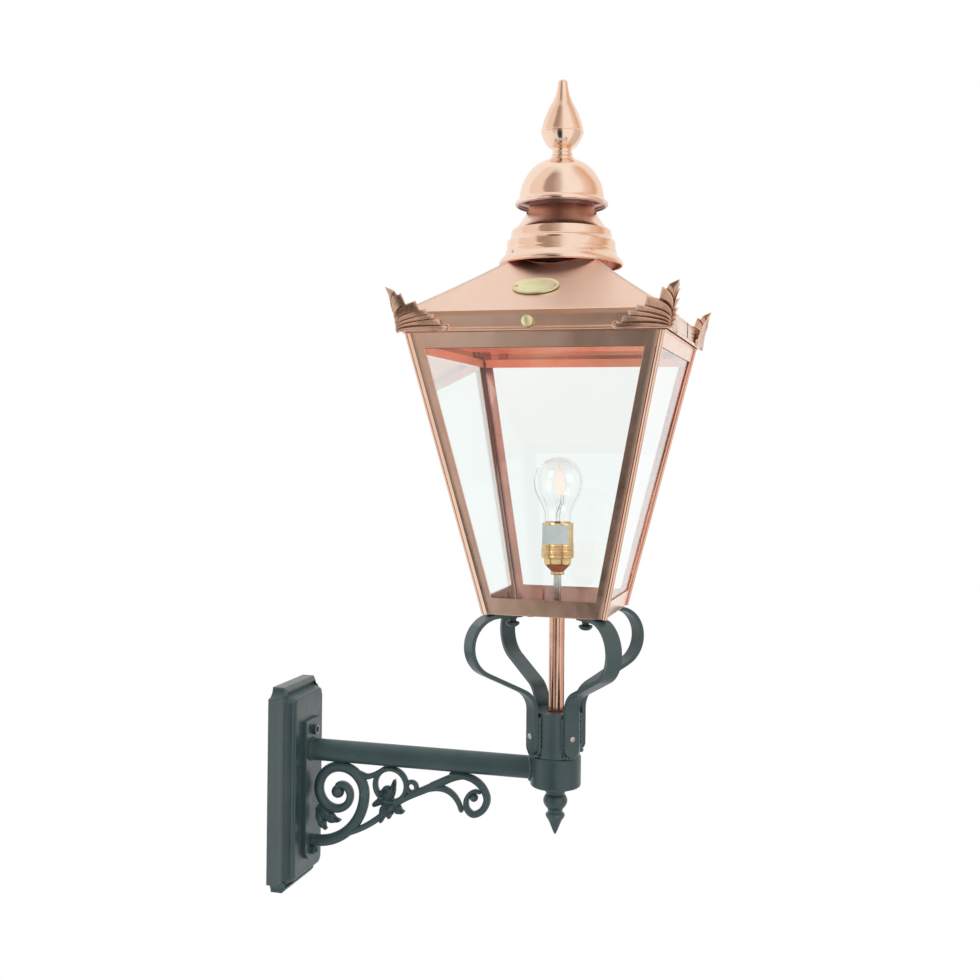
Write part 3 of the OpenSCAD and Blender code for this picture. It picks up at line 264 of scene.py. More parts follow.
def softened(node, name, width, segments=2, angle=28):
    """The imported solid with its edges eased, as a cast, bent or pressed piece has them."""
    mesh = bpy.data.meshes.new(name)
    b = bmesh.new()
    b.from_mesh(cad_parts[node].data)
    bmesh.ops.remove_doubles(b, verts=b.verts, dist=2e-6)
    bmesh.ops.dissolve_limit(b, angle_limit=math.radians(0.6), verts=b.verts, edges=b.edges)
    b.to_mesh(mesh)
    b.free()
    obj = bpy.data.objects.new(name, mesh)
    bpy.context.scene.collection.objects.link(obj)
    ease = obj.modifiers.new("ease", "BEVEL")
    ease.width = width * 0.001
    ease.segments = segments
    ease.limit_method = "ANGLE"
    ease.angle_limit = math.radians(angle)
    ease.use_clamp_overlap = True
    return flat_faces(obj)


glaze = finish_material("cream_glaze", [(0.70, 0.68, 0.60), (0.80, 0.78, 0.71)], (0.12, 0.26), mottle=30.0,
                        fine=300.0, fine_bump=0.02)
brass = finish_material("satin_brass", [(0.52, 0.36, 0.13), (0.66, 0.47, 0.19), (0.74, 0.56, 0.27)],
                        (0.20, 0.36), metallic=1.0, mottle=40.0, fine=900.0, fine_bump=0.06)
settle(softened("terminal_block", "porcelain_terminal_block", 0.7), glaze, BODY,
       ["terminal_block"])
settle(softened("terminal_screws", "clamp_screws", 0.2, 1), brass, BODY, ["terminal_screws"])

# Flange. A flat steel pad with two bosses and a countersink at each; the upper countersink's rim is bright
# steel, a painted highlight, and the lower one is painted.
# The arm and the scroll casting are welded to it.
settle(softened("arm_flange", "welded_flange", 0.4, 2), paint, BODY, ["arm_flange"])
# How far the lantern's axis stands off the wall
AXIS = 358.4


def turned(name, profile, place=None, count=128, closed=True):
    """A turned or spun form: a profile of (radius, height) points swept round its axis."""
    place = place or Matrix.Translation((AXIS, 0, 0))
    vertices, rings, faces = [], [], []
    for radius, height in profile:
        if radius < 1e-6:
            rings.append([len(vertices)])
            vertices.append(place @ Vector((0, 0, height)))
        else:
            rings.append(list(range(len(vertices), len(vertices) + count)))
            for k in range(count):
                a = 2 * math.pi * k / count
                vertices.append(place @ Vector((radius * math.cos(a), radius * math.sin(a), height)))
    pairs = list(zip(rings, rings[1:])) + ([(rings[-1], rings[0])] if closed else [])
    for low, high in pairs:
        for k in range(count):
            n = (k + 1) % count
            corners = [low[k % len(low)], low[n % len(low)], high[n % len(high)], high[k % len(high)]]
            corners = list(dict.fromkeys(corners))
            if len(corners) > 2:
                faces.append(corners)
    return put(name, vertices, faces)


def eased(points, radius, closed=True, steps=3):
    """A profile with each corner rounded a little."""
    points = [np.array(p, float) for p in points]
    done = []
    for i, p in enumerate(points):
        if not closed and i in (0, len(points) - 1):
            done.append(tuple(p))
            continue
        a, b = points[i - 1] - p, points[(i + 1) % len(points)] - p
        la, lb = np.linalg.norm(a), np.linalg.norm(b)
        if p[0] < 1e-6 or la < 1e-6 or lb < 1e-6:
            done.append(tuple(p))
            continue
        cut = min(radius, 0.45 * la, 0.45 * lb)
        pa, pb = p + a / la * cut, p + b / lb * cut
        for k in range(steps + 1):
            t = k / steps
            done.append(tuple((1 - t) ** 2 * pa + 2 * t * (1 - t) * p + t * t * pb))
    return done


glint_rim_steel = finish_material("steel_rim_painted_highlight", [(0.48, 0.47, 0.45), (0.62, 0.61, 0.58)], (0.22, 0.4), metallic=1.0,
                       mottle=80.0, fine=900.0, fine_bump=0.08)
outwards = Matrix.Rotation(math.pi / 2, 4, "Y")
rim_profile = [(3.28, 40.6), (4.95, 42.16), (5.5, 42.24), (5.5, 42.34), (4.9, 42.36), (3.28, 41.0)]
# The upper rim's bright steel is a painted highlight; the lower rim is painted like the flange.
for name, z, finish in (("upper_countersink", FIX_UP, glint_rim_steel), ("lower_countersink", FIX_DOWN, paint)):
    rim = turned(name, eased(rim_profile, 0.1), Matrix.Translation((0, 0, z)) @ outwards, 48)
    settle(rim, finish, BODY)

# Arm. A plain steel tube that carries the lead to the hub. It is welded to the flange and coped to the
# hub's side, with a rippled weld bead round each end.
HUB_R, ARM_R, ARM_BORE_R, ARM_START, ARM_END, COPE = 31.0, 14.0, 11.0, 36.3, 328.2, 1.0
arm_side = [(ARM_R, x) for x in np.linspace(ARM_START, ARM_END - 2.2, 40)] + [(ARM_R, ARM_END - COPE)]
arm = turned("arm_tube_steel", [(ARM_BORE_R, ARM_START)] + arm_side
             + [(ARM_R, ARM_END), (ARM_BORE_R, ARM_END)], Matrix.Translation((0, 0, ARM_Z)) @ outwards, 96)
for v in arm.data.vertices:
    if v.co.x > (ARM_END - COPE - 0.3) * 0.001:
        v.co.x += (HUB_R - math.sqrt(HUB_R ** 2 - (v.co.y * 1000) ** 2)) * 0.001
settle(arm, paint, BODY, ["arm_tube"])


def bead(name, path, radius, closed=False, sides=12, ripple=0.0, pitch=3.0, flat=1.0):
    """A round rod, rolled edge or weld bead along a line of points in millimetres."""
    path = [Vector(p) for p in path]
    count = len(path)
    vertices = []
    run = 0.0
    lead = None
    for i, p in enumerate(path):
        ahead = path[(i + 1) % count] if closed else path[min(i + 1, count - 1)]
        behind = path[i - 1] if closed or i else path[0]
        along = (ahead - behind).normalized()
        if lead is None:
            lead = along.orthogonal().normalized()
        lead = (lead - along * lead.dot(along)).normalized()
        side = along.cross(lead)
        r = radius[i] if hasattr(radius, "__len__") else radius
        r *= 1 + ripple * math.sin(2 * math.pi * run / pitch) + 0.5 * ripple * math.sin(run * 1.7 + 1)
        for k in range(sides):
            a = 2 * math.pi * k / sides
            vertices.append(p + lead * (r * math.cos(a)) + side * (r * flat * math.sin(a)))
        if i + 1 < count:
            run += (path[i + 1] - p).length
    return put(name, vertices, ring_faces(count, sides, capped=not closed, looped=closed))


flange_weld, hub_weld = [], []
for a in np.linspace(0, 2 * math.pi, 121)[:-1]:
    y, z = (ARM_R + 0.2) * math.cos(a), (ARM_R + 0.2) * math.sin(a)
    flange_weld.append((ARM_START + 0.6, y, ARM_Z + z))
    y, z = (ARM_R + 0.8) * math.cos(a), (ARM_R + 0.8) * math.sin(a)
    hub_weld.append((AXIS - math.sqrt(HUB_R ** 2 - y ** 2) - 0.8, y, ARM_Z + z))
settle(bead("weld_at_flange", flange_weld, 1.1, True, 10, 0.08, 3.1), paint, BODY)
settle(bead("weld_at_hub", hub_weld, 1.9, True, 10, 0.10, 3.4), paint, BODY)

# Scroll bracket. One iron casting in the plane of the arm: a volute, a ring, an ear and a hook, with
# moulded bars and leaves that grow where the bars meet. It is welded under the arm.
VOLUTE, VOLUTE_R, VOLUTE_END_R, VOLUTE_SWEEP = np.array([73.0, -8.0]), 35.0, 8.0, 450.0


def arc(centre, radius, start, end, steps):
    """Points on an arc, its ends given in degrees."""
    return [(centre[0] + radius * math.cos(a), centre[1] + radius * math.sin(a))
            for a in np.radians(np.linspace(start, end, steps))]


def bend(a, b, c, d, steps=24):
    """Points on a curve that leaves a towards b and comes into d from c."""
    a, b, c, d = (np.array(p, float) for p in (a, b, c, d))
    return [tuple((1 - t) ** 3 * a + 3 * (1 - t) ** 2 * t * b + 3 * (1 - t) * t * t * c + t ** 3 * d)
            for t in np.linspace(0, 1, steps)]


def through(points, steps=8):
    """A smooth line through a few points."""
    p = [np.array(q, float) for q in points]
    done = []
    for i in range(len(p) - 1):
        a, b, c, d = p[max(i - 1, 0)], p[i], p[i + 1], p[min(i + 2, len(p) - 1)]
        for t in np.linspace(0, 1, steps, endpoint=False):
            done.append(tuple(0.5 * (2 * b + (c - a) * t + (2 * a - 5 * b + 4 * c - d) * t * t
                                     + (3 * b - a - 3 * c + d) * t ** 3)))
    return done + [tuple(p[-1])]


# A quarter of a bar's moulded section, in shares of its half width and half depth; the rest mirrors it
MOULDED = [(1.0, 0.0), (0.985, 0.34), (0.90, 0.58), (0.74, 0.70), (0.60, 0.73), (0.50, 0.80), (0.40, 0.95),
           (0.20, 1.0)]
MOULDED = MOULDED + [(-x, y) for x, y in MOULDED[::-1]]
MOULDED = MOULDED + [(x, -y) for x, y in MOULDED[-2:0:-1]]


def cast_bar(path, widths, depths, ends=(True, True)):
    """A moulded bar in the plane of the arm, with rounded ends."""
    path = [np.array(p, float) for p in path]
    count = len(path)
    at = np.linspace(0, 1, count)
    width = np.interp(at, np.linspace(0, 1, len(widths)), widths)
    depth = np.interp(at, np.linspace(0, 1, len(depths)), depths)
    stations = []
    for i, p in enumerate(path):
        along = path[min(i + 1, count - 1)] - path[max(i - 1, 0)]
        along = along / np.linalg.norm(along)
        stations.append((p, along, width[i] / 2, depth[i] / 2))
    capped = list(stations)
    for which, (p, along, w, d) in (("start", stations[0]), ("end", stations[-1])):
        if not ends[which == "end"]:
            continue
        sign = 1 if which == "end" else -1
        extra = [(p + sign * along * w * math.sin(q), along, w * math.cos(q), d * (0.5 + 0.5 * math.cos(q)))
                 for q in (0.5, 0.95, 1.3, 1.5)]
        capped = capped + extra if which == "end" else extra[::-1] + capped
    vertices = []
    for p, along, w, d in capped:
        across = np.array([-along[1], along[0]])
        for x, y in MOULDED:
            q = p + across * w * x
            vertices.append((q[0], d * y, q[1]))
    return vertices, ring_faces(len(capped), len(MOULDED))


def cast_leaf(path, width, depth, lobes=3, twist=0.35):
    """A cast leaf on both faces of the scroll: a midrib, lobes along its edge and a curled tip."""
    path = [np.array(p, float) for p in path]
    rows, cols = len(path), 17
    vertices, faces = [], []
    for side in (1, -1):
        for i, p in enumerate(path):
            along = path[min(i + 1, rows - 1)] - path[max(i - 1, 0)]
            across = np.array([-along[1], along[0]]) / np.linalg.norm(along)
            t = i / (rows - 1)
            lobe = 0.80 + 0.20 * abs(math.cos(math.pi * lobes * t))
            half = width * (0.10 + 0.40 * math.sin(math.pi * min(1, t * 0.94 + 0.05))) * lobe
            for k in range(cols):
                v = 2 * k / (cols - 1) - 1
                dome = (1 - abs(v) ** 2.4) ** 0.6
                rib = 0.22 * math.exp(-(v / 0.16) ** 2) + 0.10 * math.cos(5.5 * math.pi * abs(v) + 4.0 * t)
                q = p + across * half * v + along / np.linalg.norm(along) * (twist * half * (1 - v * v))
                y = depth / 2 * dome * (0.72 + rib) * (0.55 + 0.45 * math.sin(math.pi * (0.12 + 0.8 * t)))
                vertices.append((q[0], side * max(y, 0.0), q[1]))
    back = rows * cols
    for first in (0, back):
        for i in range(rows - 1):
            for k in range(cols - 1):
                a = first + i * cols + k
                faces.append([a, a + 1, a + cols + 1, a + cols])
    for i in (0, rows - 1):
        for k in range(cols - 1):
            a = i * cols + k
            faces.append([a, a + 1, back + a + 1, back + a])
    return vertices, faces


spiral = []
for a in np.arange(0, VOLUTE_SWEEP + 1, 7.5):
    r = VOLUTE_R - (VOLUTE_R - VOLUTE_END_R) * (a / VOLUTE_SWEEP) ** 1.4
    spiral.append(VOLUTE + r * np.array([math.cos(math.radians(a)), math.sin(math.radians(a))]))
hook = through([(226, 26.6), (238, 26.4), (254, 22.6), (266, 13), (271.5, -1), (266, -14.5), (254.5, -21),
                (246, -15.5), (244.5, -5), (249, 4), (256, 8), (262, 7)])
castings = [
    cast_bar(spiral, [13.5, 13, 12, 9, 9.5], [12, 12, 12, 12.5, 14], (False, True)),
    cast_bar(arc((42.5, -8), 65.5, 0, -90, 34) + [(36.4, -73.5)], [13.5, 14.5], [12, 12.5], (False, False)),
    cast_bar(bend((84, -61), (104, -54), (122, -44), (148, -20)), [7, 9], [10, 11]),
    cast_bar(bend((144, -24), (160, -6), (184, 0), (206, 13)), [8, 10], [11, 11.5]),
    cast_bar(bend((200, 9.5), (212, 15), (224, 24), (240, 26)), [11, 9], [11.5, 11.5]),
    cast_bar(bend((196, 6.5), (216, 12), (232, 4), (238, -17)), [9, 6], [11, 9]),
    cast_bar(hook, [8, 9, 9, 8, 6, 4.5], [11.5, 12, 12, 10, 8]),
    cast_bar(arc((144, 6.05), 21, 60, 420, 60), [6.5, 6.5], [11, 11], (False, False)),
    cast_bar(arc((172, 6.05), 6.5, 0, 360, 36), [5.6, 5.6], [9, 9], (False, False)),
    cast_bar(through([(101, 17), (112, 14.5), (124, 19), (135, 26.4)]), [8, 6], [10, 10]),
    cast_leaf(bend((120, -22), (134, -12), (147, -8), (149, 13)), 16, 15, 3),
    cast_leaf(bend((128, -8), (136, -2), (142, 2), (150, 0)), 13, 15, 2),
    cast_leaf(bend((148, -10), (142, -20), (134, -26), (131, -42)), 17, 15, 3),
    cast_leaf(bend((148, -12), (150, -22), (155, -27), (162, -26)), 14, 14, 2),
    cast_leaf(bend((142, -20), (142, -28), (141, -32), (143, -36)), 13, 14, 2),
    cast_leaf(bend((45, -26), (54, -38), (62, -46), (75, -45)), 16, 15, 3),
    cast_leaf(bend((43, -30), (46, -44), (50, -52), (56, -58)), 14, 14, 3),
]
vertices, faces = [], []
for some_vertices, some_faces in castings:
    start = len(vertices)
    vertices += some_vertices
    faces += [[start + i for i in f] for f in some_faces]
scroll = put("cast_scroll", vertices, faces, merge=0.001)
settle(scroll, paint, BODY, ["scroll_bracket"], angle=50)


def dome_knob(name, centre, radius, depth, rows=10, count=36):
    """The rounded eye in the middle of a volute, raised on both faces."""
    turns = [math.pi / 2 * k / rows for k in range(1, rows + 1)]
    points = [(0.0, depth)] + [(radius * math.sin(a), depth * math.cos(a)) for a in turns]
    points += [(r, -h) for r, h in points[-2::-1]]
    place = Matrix.Translation((centre[0], 0, centre[1])) @ Matrix.Rotation(math.pi / 2, 4, "X")
    return turned(name, points, place, count, closed=False)


settle(dome_knob("volute_eye", (71.5, -8), 8.4, 8.2), paint, BODY)
settle(dome_knob("hook_eye", (254.5, 0), 5.2, 7.4), paint, BODY)

# Hub, drop finial and sleeve. Turned castings, screwed together on the lantern's axis; the straps are
# welded to four flats on the sleeve.
hub_side = [(5, 24), (29, 24), (HUB_R, 26), (HUB_R, 61), (29.6, 62.45), (25, 62.45), (25, 30), (5, 30)]
hub = turned("turned_hub", eased(hub_side, 0.9), count=128)
settle(hub, paint, BODY, ["hub"])
drop = [(0, 31.9), (4.9, 31.9), (4.9, 24.0), (11.6, 24.0), (12.5, 22.6), (12.6, 17.5), (11.3, 14.8)]
drop += through([(11.3, 14.6), (13.6, 11), (14.9, 6.2), (13.4, 1), (9.6, -4), (8.9, -7.6)], 6)
drop += [(9.9, -8.6), (11.6, -10.2), (11.9, -11.8), (11.0, -14.2)]
drop += through([(10.4, -15), (8.2, -18.4), (5.7, -24.2), (3.1, -30.5), (0.9, -35.0)], 6) + [(0, -35.5)]
drop_form = turned("drop_finial", drop, count=96, closed=False)
settle(drop_form, paint, BODY, ["pendant_finial"], angle=40)
settle(softened("cradle_sleeve", "strap_sleeve", 0.8, 2), paint, BODY, ["cradle_sleeve"])

# Straps. Four flat bars, bent cold and welded to the sleeve, with a bright screw in each foot. Their
# upper ends lie under the lantern's floor.
for k in range(1, 5):
    strap = softened(f"cradle_strap_{k}", f"bent_strap_{k}", 1.1, 3, 24)
    settle(strap, paint, BODY, [f"cradle_strap_{k}"])
FOOT_WELD_OUT, FOOT_WELD_Z = 33.0, 65.3
SIDE_WELD_OUT, SIDE_WELD_HALF, SIDE_WELD_LOW, SIDE_WELD_HIGH = 29.6, 10.3, 74, 112


def about_axis(degrees):
    """A turn round the lantern's axis, for what is drawn beside it."""
    return Matrix.Translation((AXIS, 0, 0)) @ Matrix.Rotation(math.radians(degrees), 4, "Z")


for k in range(4):
    turn = about_axis(90 * k - 45)
    for s in (-1, 1):
        line = [turn @ Vector((SIDE_WELD_OUT + 0.5 * math.sin(z), s * SIDE_WELD_HALF, z))
                for z in np.linspace(SIDE_WELD_LOW, SIDE_WELD_HIGH, 48)]
        settle(bead(f"strap_weld_{2 * k + (s > 0)}", line, 1.5, False, 9, 0.16, 2.9), paint, BODY)
    foot = [turn @ Vector((FOOT_WELD_OUT - 0.05 * y * y * 0.4, y, FOOT_WELD_Z + 0.012 * y * y))
            for y in np.linspace(-9, 9, 36)]
    settle(bead(f"foot_weld_{k}", foot, 2.6, False, 10, 0.14, 3.3), paint, BODY)


def ring_of_fittings():
    """Sets a fitting at even turns round the lantern's axis."""
    tree = bpy.data.node_groups.new("ring_of_fittings", "GeometryNodeTree")
    face = tree.interface
    face.new_socket("Geometry", in_out="OUTPUT", socket_type="NodeSocketGeometry")
    face.new_socket("Fitting", in_out="INPUT", socket_type="NodeSocketObject")
    face.new_socket("Count", in_out="INPUT", socket_type="NodeSocketInt")
    face.new_socket("Reach", in_out="INPUT", socket_type="NodeSocketFloat")
    face.new_socket("Height", in_out="INPUT", socket_type="NodeSocketFloat")
    face.new_socket("First turn", in_out="INPUT", socket_type="NodeSocketFloat")
    face.new_socket("Material", in_out="INPUT", socket_type="NodeSocketMaterial")

    def add(kind, **settings):
        made = tree.nodes.new(kind)
        for key, value in settings.items():
            setattr(made, key, value)
        return made

    link = tree.links.new
    given, out = add("NodeGroupInput"), add("NodeGroupOutput")
    index = add("GeometryNodeInputIndex")
    share = add("ShaderNodeMath", operation="DIVIDE")
    link(index.outputs[0], share.inputs[0])
    link(given.outputs["Count"], share.inputs[1])
    angle = add("ShaderNodeMath", operation="MULTIPLY_ADD")
    angle.inputs[1].default_value = 2 * math.pi
    link(share.outputs[0], angle.inputs[0])
    link(given.outputs["First turn"], angle.inputs[2])
    spots = []
    for operation in ("COSINE", "SINE"):
        wave = add("ShaderNodeMath", operation=operation)
        link(angle.outputs[0], wave.inputs[0])
        scaled = add("ShaderNodeMath", operation="MULTIPLY")
        link(wave.outputs[0], scaled.inputs[0])
        link(given.outputs["Reach"], scaled.inputs[1])
        spots.append(scaled)
    moved = add("ShaderNodeMath", operation="ADD")
    moved.inputs[1].default_value = AXIS * 0.001
    link(spots[0].outputs[0], moved.inputs[0])
    place = add("ShaderNodeCombineXYZ")
    link(moved.outputs[0], place.inputs[0])
    link(spots[1].outputs[0], place.inputs[1])
    link(given.outputs["Height"], place.inputs[2])
    heading = add("ShaderNodeCombineXYZ")
    link(angle.outputs[0], heading.inputs[2])
    points = add("GeometryNodePoints")
    link(given.outputs["Count"], points.inputs["Count"])
    link(place.outputs[0], points.inputs["Position"])
    fitting = add("GeometryNodeObjectInfo")
    link(given.outputs["Fitting"], fitting.inputs["Object"])
    stamp = add("GeometryNodeInstanceOnPoints")
    link(points.outputs[0], stamp.inputs["Points"])
    link(fitting.outputs["Geometry"], stamp.inputs["Instance"])
    link(heading.outputs[0], stamp.inputs["Rotation"])
    real = add("GeometryNodeRealizeInstances")
    link(stamp.outputs[0], real.inputs[0])
    coloured = add("GeometryNodeSetMaterial")
    link(real.outputs[0], coloured.inputs["Geometry"])
    link(given.outputs["Material"], coloured.inputs["Material"])
    link(coloured.outputs[0], out.inputs[0])
    return tree


fittings_tree = ring_of_fittings()


def fit_round(name, fitting, reach, height, material, nodes, count=4, first=45.0, body=BODY, angle=32):
    """Puts copies of one fitting round the axis and leaves them as one plain mesh."""
    holder = bpy.data.objects.new(name, bpy.data.meshes.new(name))
    bpy.context.scene.collection.objects.link(holder)
    rows = holder.modifiers.new("rows", "NODES")
    rows.node_group = fittings_tree
    values = {"Fitting": fitting, "Count": count, "Reach": reach * 0.001, "Height": height * 0.001,
              "First turn": math.radians(first), "Material": material}
    for item in fittings_tree.interface.items_tree:
        if item.in_out == "INPUT":
            rows[item.identifier] = values[item.name]
    bake_modifiers(holder)
    bpy.data.objects.remove(fitting)
    return settle(holder, material, body, nodes, angle)


nickel_tones = [(0.40, 0.40, 0.38), (0.56, 0.55, 0.53), (0.68, 0.67, 0.64)]
nickel = finish_material("bright_nickel", nickel_tones, (0.14, 0.28), metallic=1.0, mottle=50.0, fine=900.0,
                         fine_bump=0.04)
STRAP_OUT, FOOT_SCREW_Z = 36.8, 88.0
screw_side = [(0, -11), (1.95, -11), (1.95, 0.03), (3.7, 0.03), (3.75, 0.5), (3.4, 1.2), (2.6, 1.9),
              (1.5, 2.25), (1.2, 1.5), (0, 1.5)]
screw = turned("screw", screw_side, outwards, 40, closed=False)
fit_round("foot_screws", screw, STRAP_OUT, FOOT_SCREW_Z, nickel, ["strap_screws"])

# Bolts and thumb nuts. A domed brass bolt goes down through the floor and each strap, and a painted
# mushroom nut under the strap is turned by hand to free the lantern.
BOLT_REACH, BOLT_Z, NUT_Z = 63.0, 240.8, 234.6
upright = Matrix.Identity(4)
bolt_side = [(0, -12.1), (2.9, -12.1), (2.9, 0.02), (6.4, 0.02), (6.5, 0.7), (5.6, 1.9), (3.8, 2.8),
             (1.8, 3.15), (0, 3.2)]
bolt = turned("bolt", bolt_side, upright, 40, closed=False)
fit_round("floor_bolts", bolt, BOLT_REACH, BOLT_Z, brass, ["cradle_bolts"])
nut_side = [(3.06, 0), (5.5, 0), (5.5, -1.6), (4.5, -2.2), (4.3, -5.2), (7.9, -6), (8.5, -7.4),
            (7.4, -9.6), (4.6, -11.6), (0, -12.3), (0, -7.2), (3.06, -7.2)]
nut = turned("nut", eased(nut_side, 0.5), upright, 48)
fit_round("mushroom_nuts", nut, BOLT_REACH, NUT_Z, paint, ["cradle_nuts"])

# Conduit and lamp carrier. A bright copper tube stands in the sleeve behind a heat-reddened ring, and a
# nickel tube carries on above the floor, held by a brass nut.
copper_tones = [(0.62, 0.33, 0.235), (0.77, 0.455, 0.335), (0.86, 0.56, 0.43)]
tube_copper = finish_material("tube_copper", copper_tones, (0.13, 0.24), metallic=1.0, mottle=22.0,
                              grain=(1, 1, 0.08), fine=500.0, fine_bump=0.05, wave=25.0,
                              wave_bump=0.02, coat=0.2)
ring_brown = finish_material("scorched_copper", [(0.13, 0.055, 0.042), (0.20, 0.090, 0.070)], (0.28, 0.42),
                             metallic=1.0, mottle=40.0, fine=400.0, fine_bump=0.08)
CONDUIT_R, CONDUIT_BORE_R, CONDUIT_FOOT, CONDUIT_TOP = 9.5, 8.3, 110.6, 239.55
CARRIER_R, CARRIER_BORE_R, CARRIER_FOOT, CARRIER_TOP = 4.8, 4.1, 227.7, 289
conduit_side = [(CONDUIT_BORE_R, CONDUIT_FOOT), (CONDUIT_R, CONDUIT_FOOT)]
conduit_side += [(CONDUIT_R, z) for z in np.linspace(118, 238, 24)]
conduit_side += [(CONDUIT_R, CONDUIT_TOP), (CONDUIT_BORE_R, CONDUIT_TOP)]
conduit = turned("conduit_tube", conduit_side, count=96)
settle(conduit, tube_copper, BODY, ["conduit"])
foot_ring_side = [(9.56, 116.55), (12.9, 116.55), (12.6, 117.9), (9.56, 118.7)]
foot_ring = turned("conduit_foot_ring", eased(foot_ring_side, 0.5), count=96)
settle(foot_ring, ring_brown, BODY, ["conduit_collar"])
carrier_side = [(CARRIER_BORE_R, CARRIER_FOOT), (CARRIER_R, CARRIER_FOOT), (CARRIER_R, 260),
                (CARRIER_R, CARRIER_TOP), (CARRIER_BORE_R, CARRIER_TOP)]
carrier = turned("lamp_carrier", carrier_side, count=64)
settle(carrier, nickel, BODY, ["nipple"])
settle(softened("nipple_nut", "carrier_nut", 0.5, 2), brass, BODY, ["nipple_nut"])

# Lamp holder. A spun brass cap and a drawn shell, a threaded shade ring round its lower half and a glazed
# insulator inside; the blank pale band is the maker's paper label.
HOLDER_Z, SHELL_Z = 283.2, 304.2
holder_tones = [(0.68, 0.42, 0.17), (0.80, 0.54, 0.25), (0.88, 0.64, 0.34)]
holder_brass = finish_material("drawn_brass", holder_tones, (0.14, 0.26), metallic=1.0, mottle=36.0,
                               grain=(1, 1, 12), fine=260.0, fine_bump=0.03)


def lifted(points, height):
    """A profile raised to its place."""
    return [(r, z + height) for r, z in points]


cap_side = through([(8.3, 4.2), (9.3, 5.4), (12.2, 8.2), (14.6, 10.6)], 5)
cap_side += through([(15.7, 11.6), (16.3, 13.4), (16.8, 16.6), (17.0, 19.5)], 4)
cap_inner = through([(15.9, 19.4), (15.4, 15.0), (13.2, 11.4), (9.6, 7.8), (5.4, 6.2)], 5)
cap_line = [(5.27, 0), (8.3, 0), (8.6, 0.6), (8.4, 2.4)] + cap_side
cap_line += [(18.8, 20.1), (18.8, 20.9), (16.4, 20.9)] + cap_inner
cap = turned("spun_cap", lifted(cap_line, HOLDER_Z))
settle(cap, holder_brass, BODY, ["holder_cap"], angle=45)


def rolled_thread(obj, low, high, pitch, depth):
    """Raises a helical thread on part of a turned piece."""
    for v in obj.data.vertices:
        x, y, z = v.co.x * 1000 - AXIS, v.co.y * 1000, v.co.z * 1000
        r = math.hypot(x, y)
        if low < z < high and r > 0:
            fade = min(1.0, (z - low) / pitch, (high - z) / pitch)
            lift = depth * fade * math.sin(2 * math.pi * z / pitch - math.atan2(y, x))
            v.co.x, v.co.y = (AXIS + x * (r + lift) / r) * 0.001, y * (r + lift) / r * 0.001


shell_line = [(16.1, 0.1), (18.5, 0.1), (18.5, 9.1), (19.4, 9.2)]
shell_line += [(19.7, z) for z in np.arange(9.6, 16.4, 0.25)]
shell_line += [(19.5, 16.6), (19.1, 17.0), (19.05, 30), (19.05, 39.9), (19.3, 40.4), (19.25, 41.2)]
shell_line += [(18.7, 42.2), (17.4, 42.45), (16.9, 42.0), (16.1, 40.6)]
shell = turned("drawn_shell", lifted(shell_line, SHELL_Z), count=120)
THREAD_PITCH, THREAD_DEPTH = 1.9, 0.28
rolled_thread(shell, SHELL_Z + 9.3, SHELL_Z + 16.5, THREAD_PITCH, THREAD_DEPTH)
settle(shell, holder_brass, BODY, ["holder_shell"], angle=45)
ring_line = [(18.72, 0.25), (19.9, 0.25), (20.1, 0.7)] + [(20.1, z) for z in np.arange(0.9, 8.3, 0.25)]
ring_line += [(20.0, 8.6), (19.7, 8.95), (18.72, 8.95)]
ring_form = turned("threaded_shade_ring", lifted(ring_line, SHELL_Z), count=120)
rolled_thread(ring_form, SHELL_Z + 0.8, SHELL_Z + 8.5, THREAD_PITCH, THREAD_DEPTH)
settle(ring_form, holder_brass, BODY, ["shade_ring"], angle=45)
insulator = softened("holder_insulator", "glazed_insulator", 0.4, 2)
settle(insulator, glaze, BODY, ["holder_insulator"])
paper_tones = [(0.50, 0.54, 0.55), (0.57, 0.61, 0.61), (0.63, 0.67, 0.66)]
paper = finish_material("label_paper", paper_tones, (0.42, 0.55), mottle=60.0, fine=800.0, fine_bump=0.03)
LABEL_R, LABEL_BACK_R, LABEL_LOW, LABEL_HIGH, LABEL_START, LABEL_END = 19.22, 18.9, 17.2, 39.9, -212, -34
label_edge = ((LABEL_R, LABEL_LOW), (LABEL_R + 0.02, 28.5), (LABEL_R, LABEL_HIGH),
              (LABEL_BACK_R, LABEL_HIGH), (LABEL_BACK_R, LABEL_LOW))
label_at = np.radians(np.linspace(LABEL_START, LABEL_END, 60))
label_points = [(AXIS + r * math.cos(a), r * math.sin(a), SHELL_Z + z) for a in label_at
                for r, z in label_edge]
label = put("label_band", label_points, ring_faces(len(label_at), len(label_edge)))
settle(label, paper, BODY)

# Bulb. A brass screw cap, a thin blown envelope round at the head, a pinched glass stem with its wires,
# and two flame-shaped plates that glow.
LAMP_BASE, NECK_Z, BULB_TOP, BULB_R, GLASS_T = 312.2, 344.2, 427.2, 30.0, 0.7
cap_rows = [(0, 0.02), (4.4, 0.02), (5.0, 1.0), (10.2, 5.0), (12.4, 6.0)]
cap_rows += [(12.8, z) for z in np.arange(6.3, 26.4, 0.45)]
cap_rows += [(12.3, 28.8), (13.1, 30.2), (13.15, 31.95), (12.1, 31.95), (11.2, 7.0), (0, 7.0)]
lamp_cap = turned("lamp_screw_cap", lifted(cap_rows, LAMP_BASE), count=96, closed=False)
rolled_thread(lamp_cap, LAMP_BASE + 6.4, LAMP_BASE + 26.2, 3.6, 0.40)
settle(lamp_cap, holder_brass, BODY, ["bulb_cap"], angle=50)


